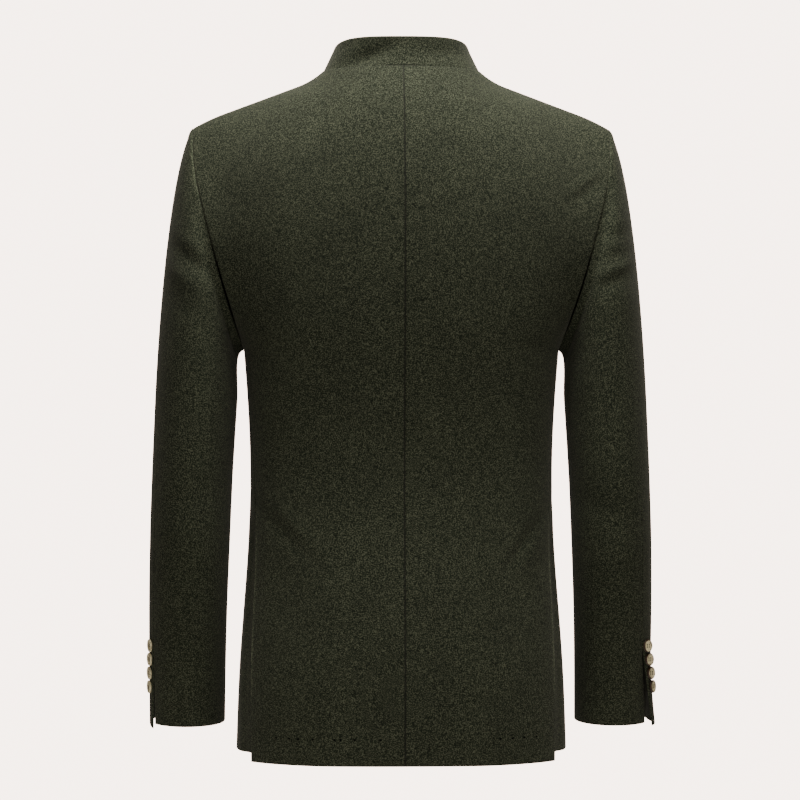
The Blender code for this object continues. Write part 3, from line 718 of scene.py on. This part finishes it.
def sewing_thread(name, colour):
    material, tree = new_material(name)
    shader = add_node(
        tree,
        "ShaderNodeBsdfPrincipled",
        {"Base Color": linear(colour), "Roughness": 0.9, "Specular IOR Level": 0.05},
    )
    add_node(tree, "ShaderNodeOutputMaterial", {"Surface": shader.outputs[0]})
    return material


# Near-black thread, also drawn as painted shade in the hem's stitch dimples and in the buttons'
# holes.
thread_and_painted_shade = sewing_thread("black-green sewing thread", "060805")
back_rows = panel_rows(BACK_HEM)
# Rows over which the painted highlight of the vents' folded edges runs.
shine_rows = smooth((VENT_TOP + SHINE_FADE - back_rows) / SHINE_FADE)
shine_rows *= VENT_SHINE * smooth((back_rows - SHINE_END) / SHINE_FADE)
for hang in SIDES:
    name = f"back_{hang.name}"
    centre = np.zeros_like(back_rows)
    share, edges = grid_lines(cut_surface("back"), centre, centre + 1.0, back_rows, PANEL_COLUMNS)
    # Painted highlight along the vent's folded edge, and painted shade in the centre back seam's
    # groove.
    painted_light = np.where(share > 0.5, np.exp(-((edges / VENT_SHINE_WIDTH) ** 2)), 0.0)
    painted_light *= shine_rows[:, None]
    painted_light -= np.where(share < 0.5, SEAM_SHADE * np.exp(-((edges / SEAM_WIDTH) ** 2)), 0.0)
    edges = np.minimum(edges, row_edges(back_rows, BACK_HEM)[:, None])
    along = to_neck_seam("back", share, back_rows[:, None])
    points = body_surface("back")(share, along)
    face = level_shoulder(body_normals("back", share, along), share, back_rows)
    points += face * crease_height(name, points[..., 0], points[..., 2])[..., None]
    back = cloth_piece(f"{name}_cloth", points, face, edges, painted_light, CLOTH, hang.mirror, loden)
    caught = np.argmin(np.abs(back_rows - BACK_HEM - HEM_TURN))
    nearest = [np.argmin(np.abs(points[caught, :, 0] - x)) for x in HEM_STITCHES[name]]
    stitched = caught, nearest
    hem_picks(f"{name}_hem_picks", points[stitched], face[stitched], hang.mirror)


# The fronts: cut in one piece each from the centre to the side seam behind the arm. The left
# laps over the right, and below the side seams both run on behind the back under the vents.
FRONT_HEM = -732.5
LAP_GAP = 0.9  # between a piece and the one that laps over it
VENT_FULL = -546.0  # the underlap has its full width from here
VENT_EASE = -470.0  # the front starts to sink under the back here
VENT_UNDERLAP = 0.103  # of a front's width runs on behind the back below the vent top
VENT_SINK_START = 0.89  # share of a front's width where it starts to sink under the back
VENT_SINK_FULL = 0.95
FRONT_LAP = 0.049  # of a front's width runs past the centre
LAP_REACH = 33.0  # the left front covers the right one this far past the centre
LAP_EASE = 32.0  # width over which the right front sinks under it
FRONT_COLUMNS = 96
CREASES += [
    Crease("front_left", 120.0, -470.0, 40.0, 12.0, 0.6, -1.4),
    Crease("front_left", 90.0, -520.0, 50.0, 14.0, 0.35, 1.2),
    Crease("front_right", 118.0, -480.0, 40.0, 12.0, 0.5, -1.4),
    Crease("front_right", 86.0, -540.0, 50.0, 14.0, 0.3, 1.2),
    Crease("front_left", 160.0, -150.0, 24.0, 30.0, 0.3, -1.6),
    Crease("front_right", 164.0, -156.0, 24.0, 30.0, 0.2, -1.6),
]

front_rows = panel_rows(FRONT_HEM)
underlap = 1.0 + VENT_UNDERLAP * smooth((VENT_TOP - front_rows) / (VENT_TOP - VENT_FULL))
sunk = smooth((VENT_EASE - front_rows) / (VENT_EASE - VENT_TOP))
for hang in SIDES:
    name = f"front_{hang.name}"
    share, edges = grid_lines(
        cut_surface("front"), -FRONT_LAP * underlap, underlap, front_rows, FRONT_COLUMNS
    )
    edges = np.minimum(edges, row_edges(front_rows, FRONT_HEM)[:, None])
    along = to_neck_seam("front", share, front_rows[:, None])
    points = body_surface("front")(share, along)
    face = level_shoulder(body_normals("front", share, along), share, front_rows)
    step = CLOTH + LAP_GAP
    sink = smooth((share - VENT_SINK_START) / (VENT_SINK_FULL - VENT_SINK_START))
    sink *= step * sunk[:, None]
    if hang.name == "right":
        sink += step * smooth((LAP_REACH + LAP_EASE - points[..., 0]) / LAP_EASE)
    behind_arm = points[..., 1] > 0.0
    lift = crease_height(f"back_{hang.name}", points[..., 0], points[..., 2]) * behind_arm
    lift += crease_height(name, points[..., 0], points[..., 2]) * ~behind_arm
    points += face * (lift - sink)[..., None]
    painted_light = np.zeros_like(edges)
    front = cloth_piece(f"{name}_cloth", points, face, edges, painted_light, CLOTH, hang.mirror, loden)


# The sleeves: two-piece, set into the armholes with a little fullness at the head. The hind-arm
# seam ends in a cuff vent, whose upper edge lies free as a flap and carries the buttons.
ARMHOLE_EASE = 12.0  # width over which the sleeve comes to lie square to the armhole
ARMHOLE_TUCK = 6.0  # how deep the sleeve sinks under the back's edge, low on the armhole
TUCK_REACH = 15.0
TUCK_LAP = 4.0  # how far it runs on behind that edge
FRONT_SEAM_LAP = 3.4  # and behind the front's edge, which it meets at a fold
FRONT_SEAM_FADE = 0.3  # sine of the angle in front of the armhole's top over which that starts
TUCK_START = {"left": 52.0, "right": 30.0}  # degrees round the armhole where it starts to
TUCK_RUN = 42.0
TUCK_END = 188.0
TUCK_FADE = 25.0
SEAM_PRESSED = 1.0  # the seams are pressed flat above the elbow, as if this far from an edge
SEAM_PRESSED_END = 0.5  # share of the lower sleeve by which this has faded
HEAD_SHINE = (38.0, 22.0)  # angle about which a painted highlight runs along the head's edge, and how far
HEAD_SHINE_SHARE = {"left": 0.6, "right": 0.2}
HEAD_SHINE_WIDTH = 1.6
HEAD_ROLL = 1.2  # the fullness of the head stands up this much along the upper armhole
HEAD_ROLL_REACH = 5.0
HEAD_ROLL_END = 70.0  # degrees round the armhole at which it has faded
BICEPS = -356.0
CUFF = -706.5
CUFF_VENT_TOP = -610.0
CUFF_UNDERLAP = {"left": 0.0, "right": 14.0}  # of the under sleeve, where the flap stands open
CUFF_SLANT = 3.0  # the cuff is this much longer at the back of the arm and shorter in front
FORE_SEAM = 195.0  # degrees round the sleeve from its outer side, by way of the back
HIND_SEAM_AT_ARMHOLE = 75.0
FLAP_START = 0.8  # share of the top sleeve's width where the buttoned edge starts to lift
FLAP_DROP = {"left": 5.0, "right": 0.0}  # that the flap's corner hangs below the cuff
HEAD_FOLD_FADE = 0.14  # share of the head over which its folds fade towards the armhole
CAP_PULL = 1.15  # length of the sleeve head's lower handle, as a share of its chord
HEAD_LENGTH = 300.0
HEAD_ROWS = 80
ARM_ROWS = 100
SLEEVE_COLUMNS = {"top": 72, "under": 50}

# How the sleeve head leaves the armhole: a handle vector at four angles round it.
Lead = namedtuple("Lead", "angle x y height")
SLEEVE_LEAD = (
    Lead(0.0, 64.0, 0.0, -90.0),
    Lead(90.0, 62.0, 22.0, -60.0),
    Lead(180.0, 34.0, 0.0, -8.0),
    Lead(270.0, 62.0, -22.0, -60.0),
)

# Level sections of the sleeve below its head, from the cuff up.
Ring = namedtuple("Ring", "height centre_x centre_y half_width half_depth")
SLEEVE = (
    Ring(CUFF, 233.0, -32.0, 41.0, 51.0),
    Ring(-590.0, 232.0, -10.0, 42.5, 57.0),
    Ring(-505.0, 229.5, 2.0, 43.5, 62.0),
    Ring(-430.0, 226.5, 5.0, 44.0, 66.0),
    Ring(BICEPS, 222.7, 4.0, 44.7, 69.0),
)
CREASES += [
    Crease("sleeve_left", 64.0, -187.0, 22.0, 9.0, -0.3, 0.8),
    Crease("sleeve_left", 82.0, -208.0, 38.0, 10.0, -0.45, -2.8),
    Crease("sleeve_left", 60.0, -222.0, 28.0, 9.0, -0.44, 1.5),
    Crease("sleeve_left", 58.0, -248.0, 24.0, 14.0, -0.3, -1.2),
    Crease("sleeve_right", 67.0, -130.0, 14.0, 7.0, 0.67, -1.2),
    Crease("sleeve_right", 66.0, -178.0, 26.0, 8.0, -0.1, -1.4),
    Crease("sleeve_right", 76.0, -201.0, 28.0, 9.0, -0.2, -1.8),
    Crease("sleeve_right", 73.0, -214.5, 30.0, 5.5, -0.25, 1.2),
    Crease("sleeve_right", 80.0, -227.0, 28.0, 8.0, -0.25, -2.0),
    Crease("sleeve_right", 72.0, -250.0, 34.0, 18.0, -0.22, 1.0),
    Crease("sleeve_left", 110.0, -455.0, 45.0, 16.0, 0.3, -1.4),
    Crease("sleeve_left", 80.0, -500.0, 50.0, 20.0, -0.25, 1.0),
    Crease("sleeve_right", 115.0, -470.0, 45.0, 16.0, 0.3, -1.4),
    Crease("sleeve_right", 80.0, -520.0, 50.0, 20.0, -0.25, 1.0),
]

sleeve_section = spline(SLEEVE)
sleeve_lead = round_spline(SLEEVE_LEAD)


def sleeve_ring(height, angle):
    centre_x, centre_y, half_width, half_depth = np.moveaxis(sleeve_section(height), -1, 0)
    turn = np.radians(angle)
    x = centre_x + half_width * np.cos(turn)
    y = centre_y + half_depth * np.sin(turn)
    return np.stack([x, y, height + 0.0 * x], axis=-1)


def armhole_outwards(angle):
    """Unit directions that lead out of the body panel across the armhole seam."""
    angle = np.mod(angle, 360.0)
    along = UNDERARM + np.abs(1.0 - angle / 180.0)
    edge = np.ones_like(angle)
    on_back = (angle <= 180.0)[..., None]
    face = np.where(on_back, body_normals("back", edge, along), body_normals("front", edge, along))
    seam = armhole(angle + STEP) - armhole(angle - STEP)
    return unit(np.cross(seam, face))


def sleeve_surface(angle, along):
    """The face of the left sleeve; along runs 0 to 1 down the head, then to 2 at the cuff."""
    angle, along = np.broadcast_arrays(angle, along)
    height = BICEPS + (CUFF - BICEPS) * np.maximum(along - 1.0, 0.0)
    tube = sleeve_ring(height, angle)
    tube[..., 2] -= CUFF_SLANT * np.sin(np.radians(angle)) * np.maximum(along - 1.0, 0.0) ** 2
    start = armhole(angle)
    level = np.full_like(angle, BICEPS)
    end = sleeve_ring(level, angle)
    pull = (sleeve_ring(level - STEP, angle) - end) / STEP
    pull = pull * CAP_PULL * np.linalg.norm(end - start, axis=-1, keepdims=True)
    head = hermite(start, sleeve_lead(angle), end, pull, np.minimum(along, 1.0))
    return np.where((along > 1.0)[..., None], tube, head)


def hind_seam(hang, along):
    """The seam's angle down the sleeve: high on the armhole, then settling to its hang."""
    fall = smooth(along)
    return HIND_SEAM_AT_ARMHOLE + (hang.hind_seam - HIND_SEAM_AT_ARMHOLE) * fall


def vent_share(along):
    """0 at the top of the cuff vent, 1 at the cuff."""
    height = BICEPS + (CUFF - BICEPS) * (along - 1.0)
    return np.clip((CUFF_VENT_TOP - height) / (CUFF_VENT_TOP - CUFF), 0.0, 1.0)


def flap_edge(hang, along):
    """The angle of the top sleeve's hind edge, which leaves the seam at the top of the vent."""
    back = np.degrees(hang.flap_back / SLEEVE[0].half_depth)
    return hind_seam(hang, along) - back * vent_share(along)


def top_sleeve_surface(hang):
    """The sleeve's face with the buttoned flap standing out beside the vent."""

    def at(angle, along):
        first = FORE_SEAM - 360.0
        share = (angle - first) / (flap_edge(hang, along) - first)
        flap = smooth((share - FLAP_START) / (1.0 - FLAP_START)) * vent_share(along)
        face = normals(sleeve_surface, angle, along, -1.0)
        point = sleeve_surface(angle, along) + face * (hang.flap_lift * flap)[..., None]
        point[..., 2] -= FLAP_DROP[hang.name] * flap**2
        return point

    return at


def tuck(hang, angle):
    """How fully the sleeve sinks under the back at an angle round the armhole, from 0 to 1."""
    start = smooth((angle - TUCK_START[hang.name]) / TUCK_RUN)
    return start * smooth((TUCK_END - angle) / TUCK_FADE)


def armhole_lift(hang, angle, distance):
    """The roll of the head along the upper armhole, and the sink under the back lower down."""
    upper = 1.0 - smooth(np.abs(angle) / HEAD_ROLL_END)
    roll = HEAD_ROLL * upper * np.exp(-((distance / HEAD_ROLL_REACH - 1.0) ** 2))
    return roll - ARMHOLE_TUCK * tuck(hang, angle) * np.exp(-((distance / TUCK_REACH) ** 2))


def seam_lap(hang, angle):
    """How far the sleeve runs on behind the body's edge at an angle round the armhole."""
    in_front = smooth(-np.sin(np.radians(angle)) / FRONT_SEAM_FADE)
    return TUCK_LAP * tuck(hang, angle) + FRONT_SEAM_LAP * in_front - SEAM_GAP / 2.0


near = np.array(EDGE_LINES)
arm_length = BICEPS - CUFF
head_rows = np.linspace(near[-1] / HEAD_LENGTH, 1.0, HEAD_ROWS + 1)[1:]
arm_rows = np.linspace(1.0, 2.0 - near[-1] / arm_length, ARM_ROWS + 1)[1:]
cuff_rows = 2.0 - near[-2::-1] / arm_length
sleeve_rows = np.concatenate([near / HEAD_LENGTH, head_rows, arm_rows, cuff_rows])
cuff_edges = (2.0 - sleeve_rows) * arm_length
pressed_flat = SEAM_PRESSED * (1.0 - smooth((sleeve_rows - 1.0) / SEAM_PRESSED_END))
for hang in SIDES:
    for half in ("top", "under"):
        name = f"{half}_sleeve_{hang.name}"
        if half == "top":
            first = np.full_like(sleeve_rows, FORE_SEAM - 360.0)
            last = flap_edge(hang, sleeve_rows)
            surface = top_sleeve_surface(hang)
        else:
            lap = np.degrees(CUFF_UNDERLAP[hang.name] / SLEEVE[0].half_depth)
            first = hind_seam(hang, sleeve_rows) - lap * vent_share(sleeve_rows)
            last = np.full_like(sleeve_rows, FORE_SEAM)
            surface = sleeve_surface
        angle, edges = grid_lines(surface, first, last, sleeve_rows, SLEEVE_COLUMNS[half])
        edges += pressed_flat[:, None]
        along = np.broadcast_to(sleeve_rows[:, None], angle.shape)
        points = surface(angle, along)
        face = normals(surface, angle, along, -1.0)
        steps = np.linalg.norm(np.diff(points, axis=0, prepend=points[:1]), axis=-1)
        distance = np.cumsum(steps, axis=0)
        edges = np.minimum(edges, np.minimum(distance, cuff_edges[:, None]))
        out = armhole_outwards(angle)
        meeting = smooth(1.0 - distance / ARMHOLE_EASE)[..., None]
        over = np.maximum((face * out).sum(-1, keepdims=True), 0.0)
        face = unit(face - over * out * meeting)
        lift = crease_height(f"sleeve_{hang.name}", angle, points[..., 2])
        lift *= smooth(along / HEAD_FOLD_FADE)
        lift += armhole_lift(hang, angle, distance)
        points += face * lift[..., None] - out * meeting * seam_lap(hang, angle)[..., None]
        # Painted highlight along the sleeve head's edge at the armhole.
        painted_light = np.exp(-(((angle - HEAD_SHINE[0]) / HEAD_SHINE[1]) ** 4))
        painted_light *= HEAD_SHINE_SHARE[hang.name] * np.exp(-((distance / HEAD_SHINE_WIDTH - 1.0) ** 2))
        sleeve = cloth_piece(
            f"{name}_cloth", points, face, edges, painted_light, CLOTH, hang.mirror, loden
        )


# The collar: a low stand of two layers of the same wool over an interlining, sewn to the neck
# seam, with rounded corners that stand just apart at centre front.
COLLAR_CLOTH = 3.4
COLLAR_SEAM = 1.5  # that the collar's lower edge runs on behind the neck edge
COLLAR_HEIGHT = 32.0
COLLAR_SIDE_DROP = 3.5  # the collar is lower by this much at the sides
COLLAR_CROWN = 1.0  # and higher by this much halfway to them
COLLAR_LEAN_SIDE = 14.5  # how far the top edge stands in from the neck seam
COLLAR_LEAN_BACK = 7.0
COLLAR_LEAN_FRONT = 9.0
COLLAR_CORNER = 16.0  # radius of the two front corners
COLLAR_OPENING = 0.85  # from centre front to the collar's front edge
COLLAR_BEND = 1.0  # at the back it leaves the neck at a slope and ends upright
COLLAR_COLUMNS = 200
COLLAR_ROWS = 14
COLLAR_INSET = 0.3
NECK_LINE = 24.0  # half the length of the neck seam that shows as a line
NECK_LINES = 80

CREASES += [
    Crease("collar", 40.0, 12.0, 27.0, 9.0, -0.35, -4.0),
    Crease("collar", -42.0, 17.0, 24.0, 7.0, 0.0, -1.0),
]

neck_columns = NECK_SHARE * np.sin(np.linspace(0.0, np.pi / 2.0, NECK_LINES + 1))
back_neck = cut_surface("back")(neck_columns, np.full_like(neck_columns, UNDERARM + 1.0))
front_neck = cut_surface("front")(neck_columns, np.full_like(neck_columns, UNDERARM + 1.0))
neck_line = np.concatenate([back_neck, front_neck[-2::-1]])


def collar_surface(place, share):
    """The outer face of the stand collar. The place counts neck lines from centre back."""
    place, share = np.broadcast_arrays(place, share)
    count = np.arange(len(neck_line))
    base = [np.interp(np.abs(place), count, neck_line[:, axis]) for axis in range(3)]
    base = np.stack(base, axis=-1)
    turn = np.radians(neck_angle(base)[0])
    sine, cosine = np.sin(turn), np.cos(turn)
    lean_y = np.where(cosine > 0.0, COLLAR_LEAN_BACK, COLLAR_LEAN_FRONT)
    cut = COLLAR_CORNER - np.clip(base[..., 0], 0.0, COLLAR_CORNER)
    cut = np.where(cosine > 0.0, 0.0, cut)
    tall = COLLAR_HEIGHT - COLLAR_CORNER + np.sqrt(COLLAR_CORNER**2 - cut**2)
    tall = tall - COLLAR_SIDE_DROP * sine**6 + COLLAR_CROWN * np.sin(2.0 * turn) ** 2
    inwards = np.stack([-sine, -cosine, 0.0 * sine], axis=-1)
    base = base + inwards * COLLAR_INSET
    base[..., 2] -= COLLAR_SEAM
    rise = np.stack([-COLLAR_LEAN_SIDE * sine, -lean_y * cosine, tall + COLLAR_SEAM], axis=-1)
    bend = COLLAR_BEND * share * (1.0 - share) * np.maximum(cosine, 0.0)
    point = base + rise * share[..., None]
    point += rise * np.array([1.0, 1.0, 0.0]) * bend[..., None]
    point[..., 0] *= np.where(place < 0.0, -1.0, 1.0)
    return point


front_width = np.interp(COLLAR_OPENING, neck_line[: -NECK_LINES - 1 : -1, 0], np.arange(NECK_LINES))
collar_end = len(neck_line) - 1.0 - front_width
low_lines = near / COLLAR_HEIGHT
collar_middle = np.linspace(low_lines[-1], 1.0 - low_lines[-1], COLLAR_ROWS + 1)[1:-1]
collar_rows = np.concatenate([low_lines, collar_middle, 1.0 - low_lines[::-1]])
ends = np.full_like(collar_rows, collar_end)
place, edges = grid_lines(collar_surface, -ends, ends, collar_rows, COLLAR_COLUMNS)
edges = np.minimum(edges, (1.0 - collar_rows[:, None]) * COLLAR_HEIGHT)
share = np.broadcast_to(collar_rows[:, None], place.shape)
points = collar_surface(place, share)
face = normals(collar_surface, place, share, -1.0)
points += face * crease_height("collar", points[..., 0], points[..., 2])[..., None]
collar_wool = milled_wool("dark olive collar wool")
# Painted shade in the neck seam's groove, low on the back of the collar.
above = (share * COLLAR_HEIGHT - COLLAR_SEAM) / SEAM_WIDTH
painted_light = -SEAM_SHADE * np.exp(-(above**2) - (points[..., 0] / NECK_LINE) ** 4)
collar = cloth_piece("collar_cloth", points, face, edges, painted_light, COLLAR_CLOTH, 1.0, collar_wool)


# The buttons: turned from stag's antler with a dished face, pale in the core and brown at the
# rim where the bark was. Four kiss beside each cuff vent and five close the front.
CUFF_BUTTON = 14.2
CUFF_BUTTON_PITCH = 14.7
CUFF_BUTTON_LOWEST = -665.0
CUFF_BUTTON_INSET = 7.5  # from the flap's edge to the button's centre
CUFF_BUTTON_COUNT = 4
FRONT_BUTTON = 21.0
FRONT_BUTTON_TOP = -100.0
FRONT_BUTTON_PITCH = 93.0
FRONT_BUTTON_COUNT = 5
BUTTON_SEAT = 0.3
CUFF_BUTTON_SHANK = {"left": -0.1, "right": 0.4}  # they stand off the cloth, or press into it
# Degrees by which each turns to the back on its thread, from the lowest up.
CUFF_BUTTON_TIPS = {"left": (1.0, 2.0, 3.0, 1.0), "right": (10.0, 17.0, 18.0, 17.0)}
CUFF_BUTTON_BARK = {"left": 0.08, "right": 1.0}  # the left ones keep little of the brown rim, the right ones all of it
HORN_CORE = "fff0c0"
HORN_BARK = "3c2512"
BUTTON_THICKNESS = 0.2  # of the diameter
BUTTON_SIDES = 48
MERGED = 1e-4  # distance below which its points are one
BUTTON_HOLES = 0.11  # of the diameter, from the centre to each hole along both ways
HOLE_SIZE = 0.75  # half sizes of the dark disc painted as the shade in a hole
HOLE_RISE = 0.08
THREAD = 0.35

# Half a section from the face to the back, as shares of radius and thickness, and how much of
# the brown bark is left there.
BUTTON_PROFILE = (
    (0.0, 0.72, 0.0),
    (0.4, 0.72, 0.0),
    (0.6, 0.74, 0.1),
    (0.7, 0.84, 0.2),
    (0.78, 0.97, 0.15),
    (0.84, 1.0, 0.35),
    (0.92, 0.93, 0.9),
    (0.98, 0.75, 1.0),
    (1.0, 0.55, 1.0),
    (0.96, 0.3, 1.0),
    (0.84, 0.08, 1.0),
    (0.7, 0.0, 1.0),
    (0.0, 0.0, 1.0),
)


def stag_horn(name):
    """Turned antler: a cream core with fine pores and brown bark left at the rim, polished."""
    marble = 5.0 * MM
    material, tree = new_material(name)
    place = add_node(tree, "ShaderNodeTexCoord", {}).outputs["Object"]
    bark = add_node(tree, "ShaderNodeAttribute", {}, attribute_name="bark")
    marbling = add_node(
        tree, "ShaderNodeTexNoise", {"Vector": place, "Scale": 1.0 / marble, "Detail": 4.0}
    )
    edge = add_node(
        tree,
        "ShaderNodeMath",
        {0: bark.outputs["Fac"], 1: marbling.outputs[0]},
        operation="ADD",
    )
    tone = add_node(tree, "ShaderNodeValToRGB", {"Fac": edge.outputs[0]})
    tone.color_ramp.elements[0].position = 0.55
    tone.color_ramp.elements[0].color = linear(HORN_CORE)
    tone.color_ramp.elements[1].position = 0.9
    tone.color_ramp.elements[1].color = linear(HORN_BARK)
    shader = add_node(
        tree,
        "ShaderNodeBsdfPrincipled",
        {"Base Color": tone.outputs[0], "Roughness": 0.35, "IOR": 1.54},
    )
    add_node(tree, "ShaderNodeOutputMaterial", {"Surface": shader.outputs[0]})
    return material


antler = stag_horn("polished stag horn")


def button_thread(node, diameter, place):
    """Four dark discs painted as the shade in the holes of the dished face, and the two bars of
    thread between them.
    """
    sewn = bmesh.new()
    dish = BUTTON_PROFILE[0][1] * diameter * BUTTON_THICKNESS
    out = diameter * BUTTON_HOLES
    for x in (-out, out):
        for y in (-out, out):
            # Painted shade: a near-black disc stands in each hole.
            bead(sewn, Matrix.Translation((x, y, dish)), (HOLE_SIZE, HOLE_SIZE, HOLE_RISE))
        bead(sewn, Matrix.Translation((x, 0.0, dish)), (THREAD, out, THREAD))
    sewn.transform(place)
    thread = add_piece(f"{node}_thread", finished_mesh(f"{node}_thread", sewn), thread_and_painted_shade)
    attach(thread, "root")


def button_piece(node, diameter, point, face, mirror, rim=1.0):
    """A turned button that sits square on a cloth face, with so much bark left on its rim."""
    disc = bmesh.new()
    left_on = disc.verts.layers.float.new("bark")
    line = []
    for out, up, bark in BUTTON_PROFILE:
        vertex = disc.verts.new((out * diameter / 2.0, 0.0, up * diameter * BUTTON_THICKNESS))
        vertex[left_on] = bark * rim
        line.append(vertex)
    edges = [disc.edges.new(pair) for pair in zip(line, line[1:])]
    bmesh.ops.spin(
        disc,
        geom=line + edges,
        axis=(0.0, 0.0, 1.0),
        angle=2.0 * np.pi,
        steps=BUTTON_SIDES,
        use_merge=True,
    )
    bmesh.ops.remove_doubles(disc, verts=disc.verts[:], dist=MERGED)
    bmesh.ops.recalc_face_normals(disc, faces=disc.faces[:])
    side = Vector((mirror, 1.0, 1.0))
    seat = Vector(point + face * BUTTON_SEAT) * side
    turn = (Vector(face) * side).to_track_quat("Z", "Y").to_matrix().to_4x4()
    place = Matrix.Scale(MM, 4) @ Matrix.Translation(seat) @ turn
    disc.transform(place)
    piece = add_piece(f"{node}_horn", finished_mesh(node, disc), antler)
    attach(piece, "root")
    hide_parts(node)
    button_thread(node, diameter, place)


for hang in SIDES:
    for number in range(CUFF_BUTTON_COUNT):
        height = CUFF_BUTTON_LOWEST + number * CUFF_BUTTON_PITCH
        along = np.array(1.0 + (height - BICEPS) / (CUFF - BICEPS))
        inset = np.degrees(CUFF_BUTTON_INSET / SLEEVE[0].half_depth)
        angle = flap_edge(hang, along) - inset
        surface = top_sleeve_surface(hang)
        face = normals(surface, angle, along, -1.0)
        point = surface(angle, along) + face * CUFF_BUTTON_SHANK[hang.name]
        tip = Matrix.Rotation(np.radians(CUFF_BUTTON_TIPS[hang.name][number]), 3, "Z")
        face = np.array(tip @ Vector(face))
        button_piece(
            f"cuff_button_{hang.name}_{number + 1}",
            CUFF_BUTTON,
            point,
            face,
            hang.mirror,
            CUFF_BUTTON_BARK[hang.name],
        )

front_face = body_surface("front")
below = np.linspace(FRONT_HEM, UNDERARM, FINE)
front_line = np.concatenate([below, UNDERARM + np.linspace(STEP, 1.0, FINE)])
front_heights = front_face(np.zeros_like(front_line), front_line)[:, 2]
for number in range(FRONT_BUTTON_COUNT):
    height = FRONT_BUTTON_TOP - number * FRONT_BUTTON_PITCH
    along = np.interp(height, front_heights, front_line)
    centre = np.array(0.0)
    point = front_face(centre, along)
    face = body_normals("front", centre, along)
    button_piece(f"front_button_{number + 1}", FRONT_BUTTON, point, face, 1.0)
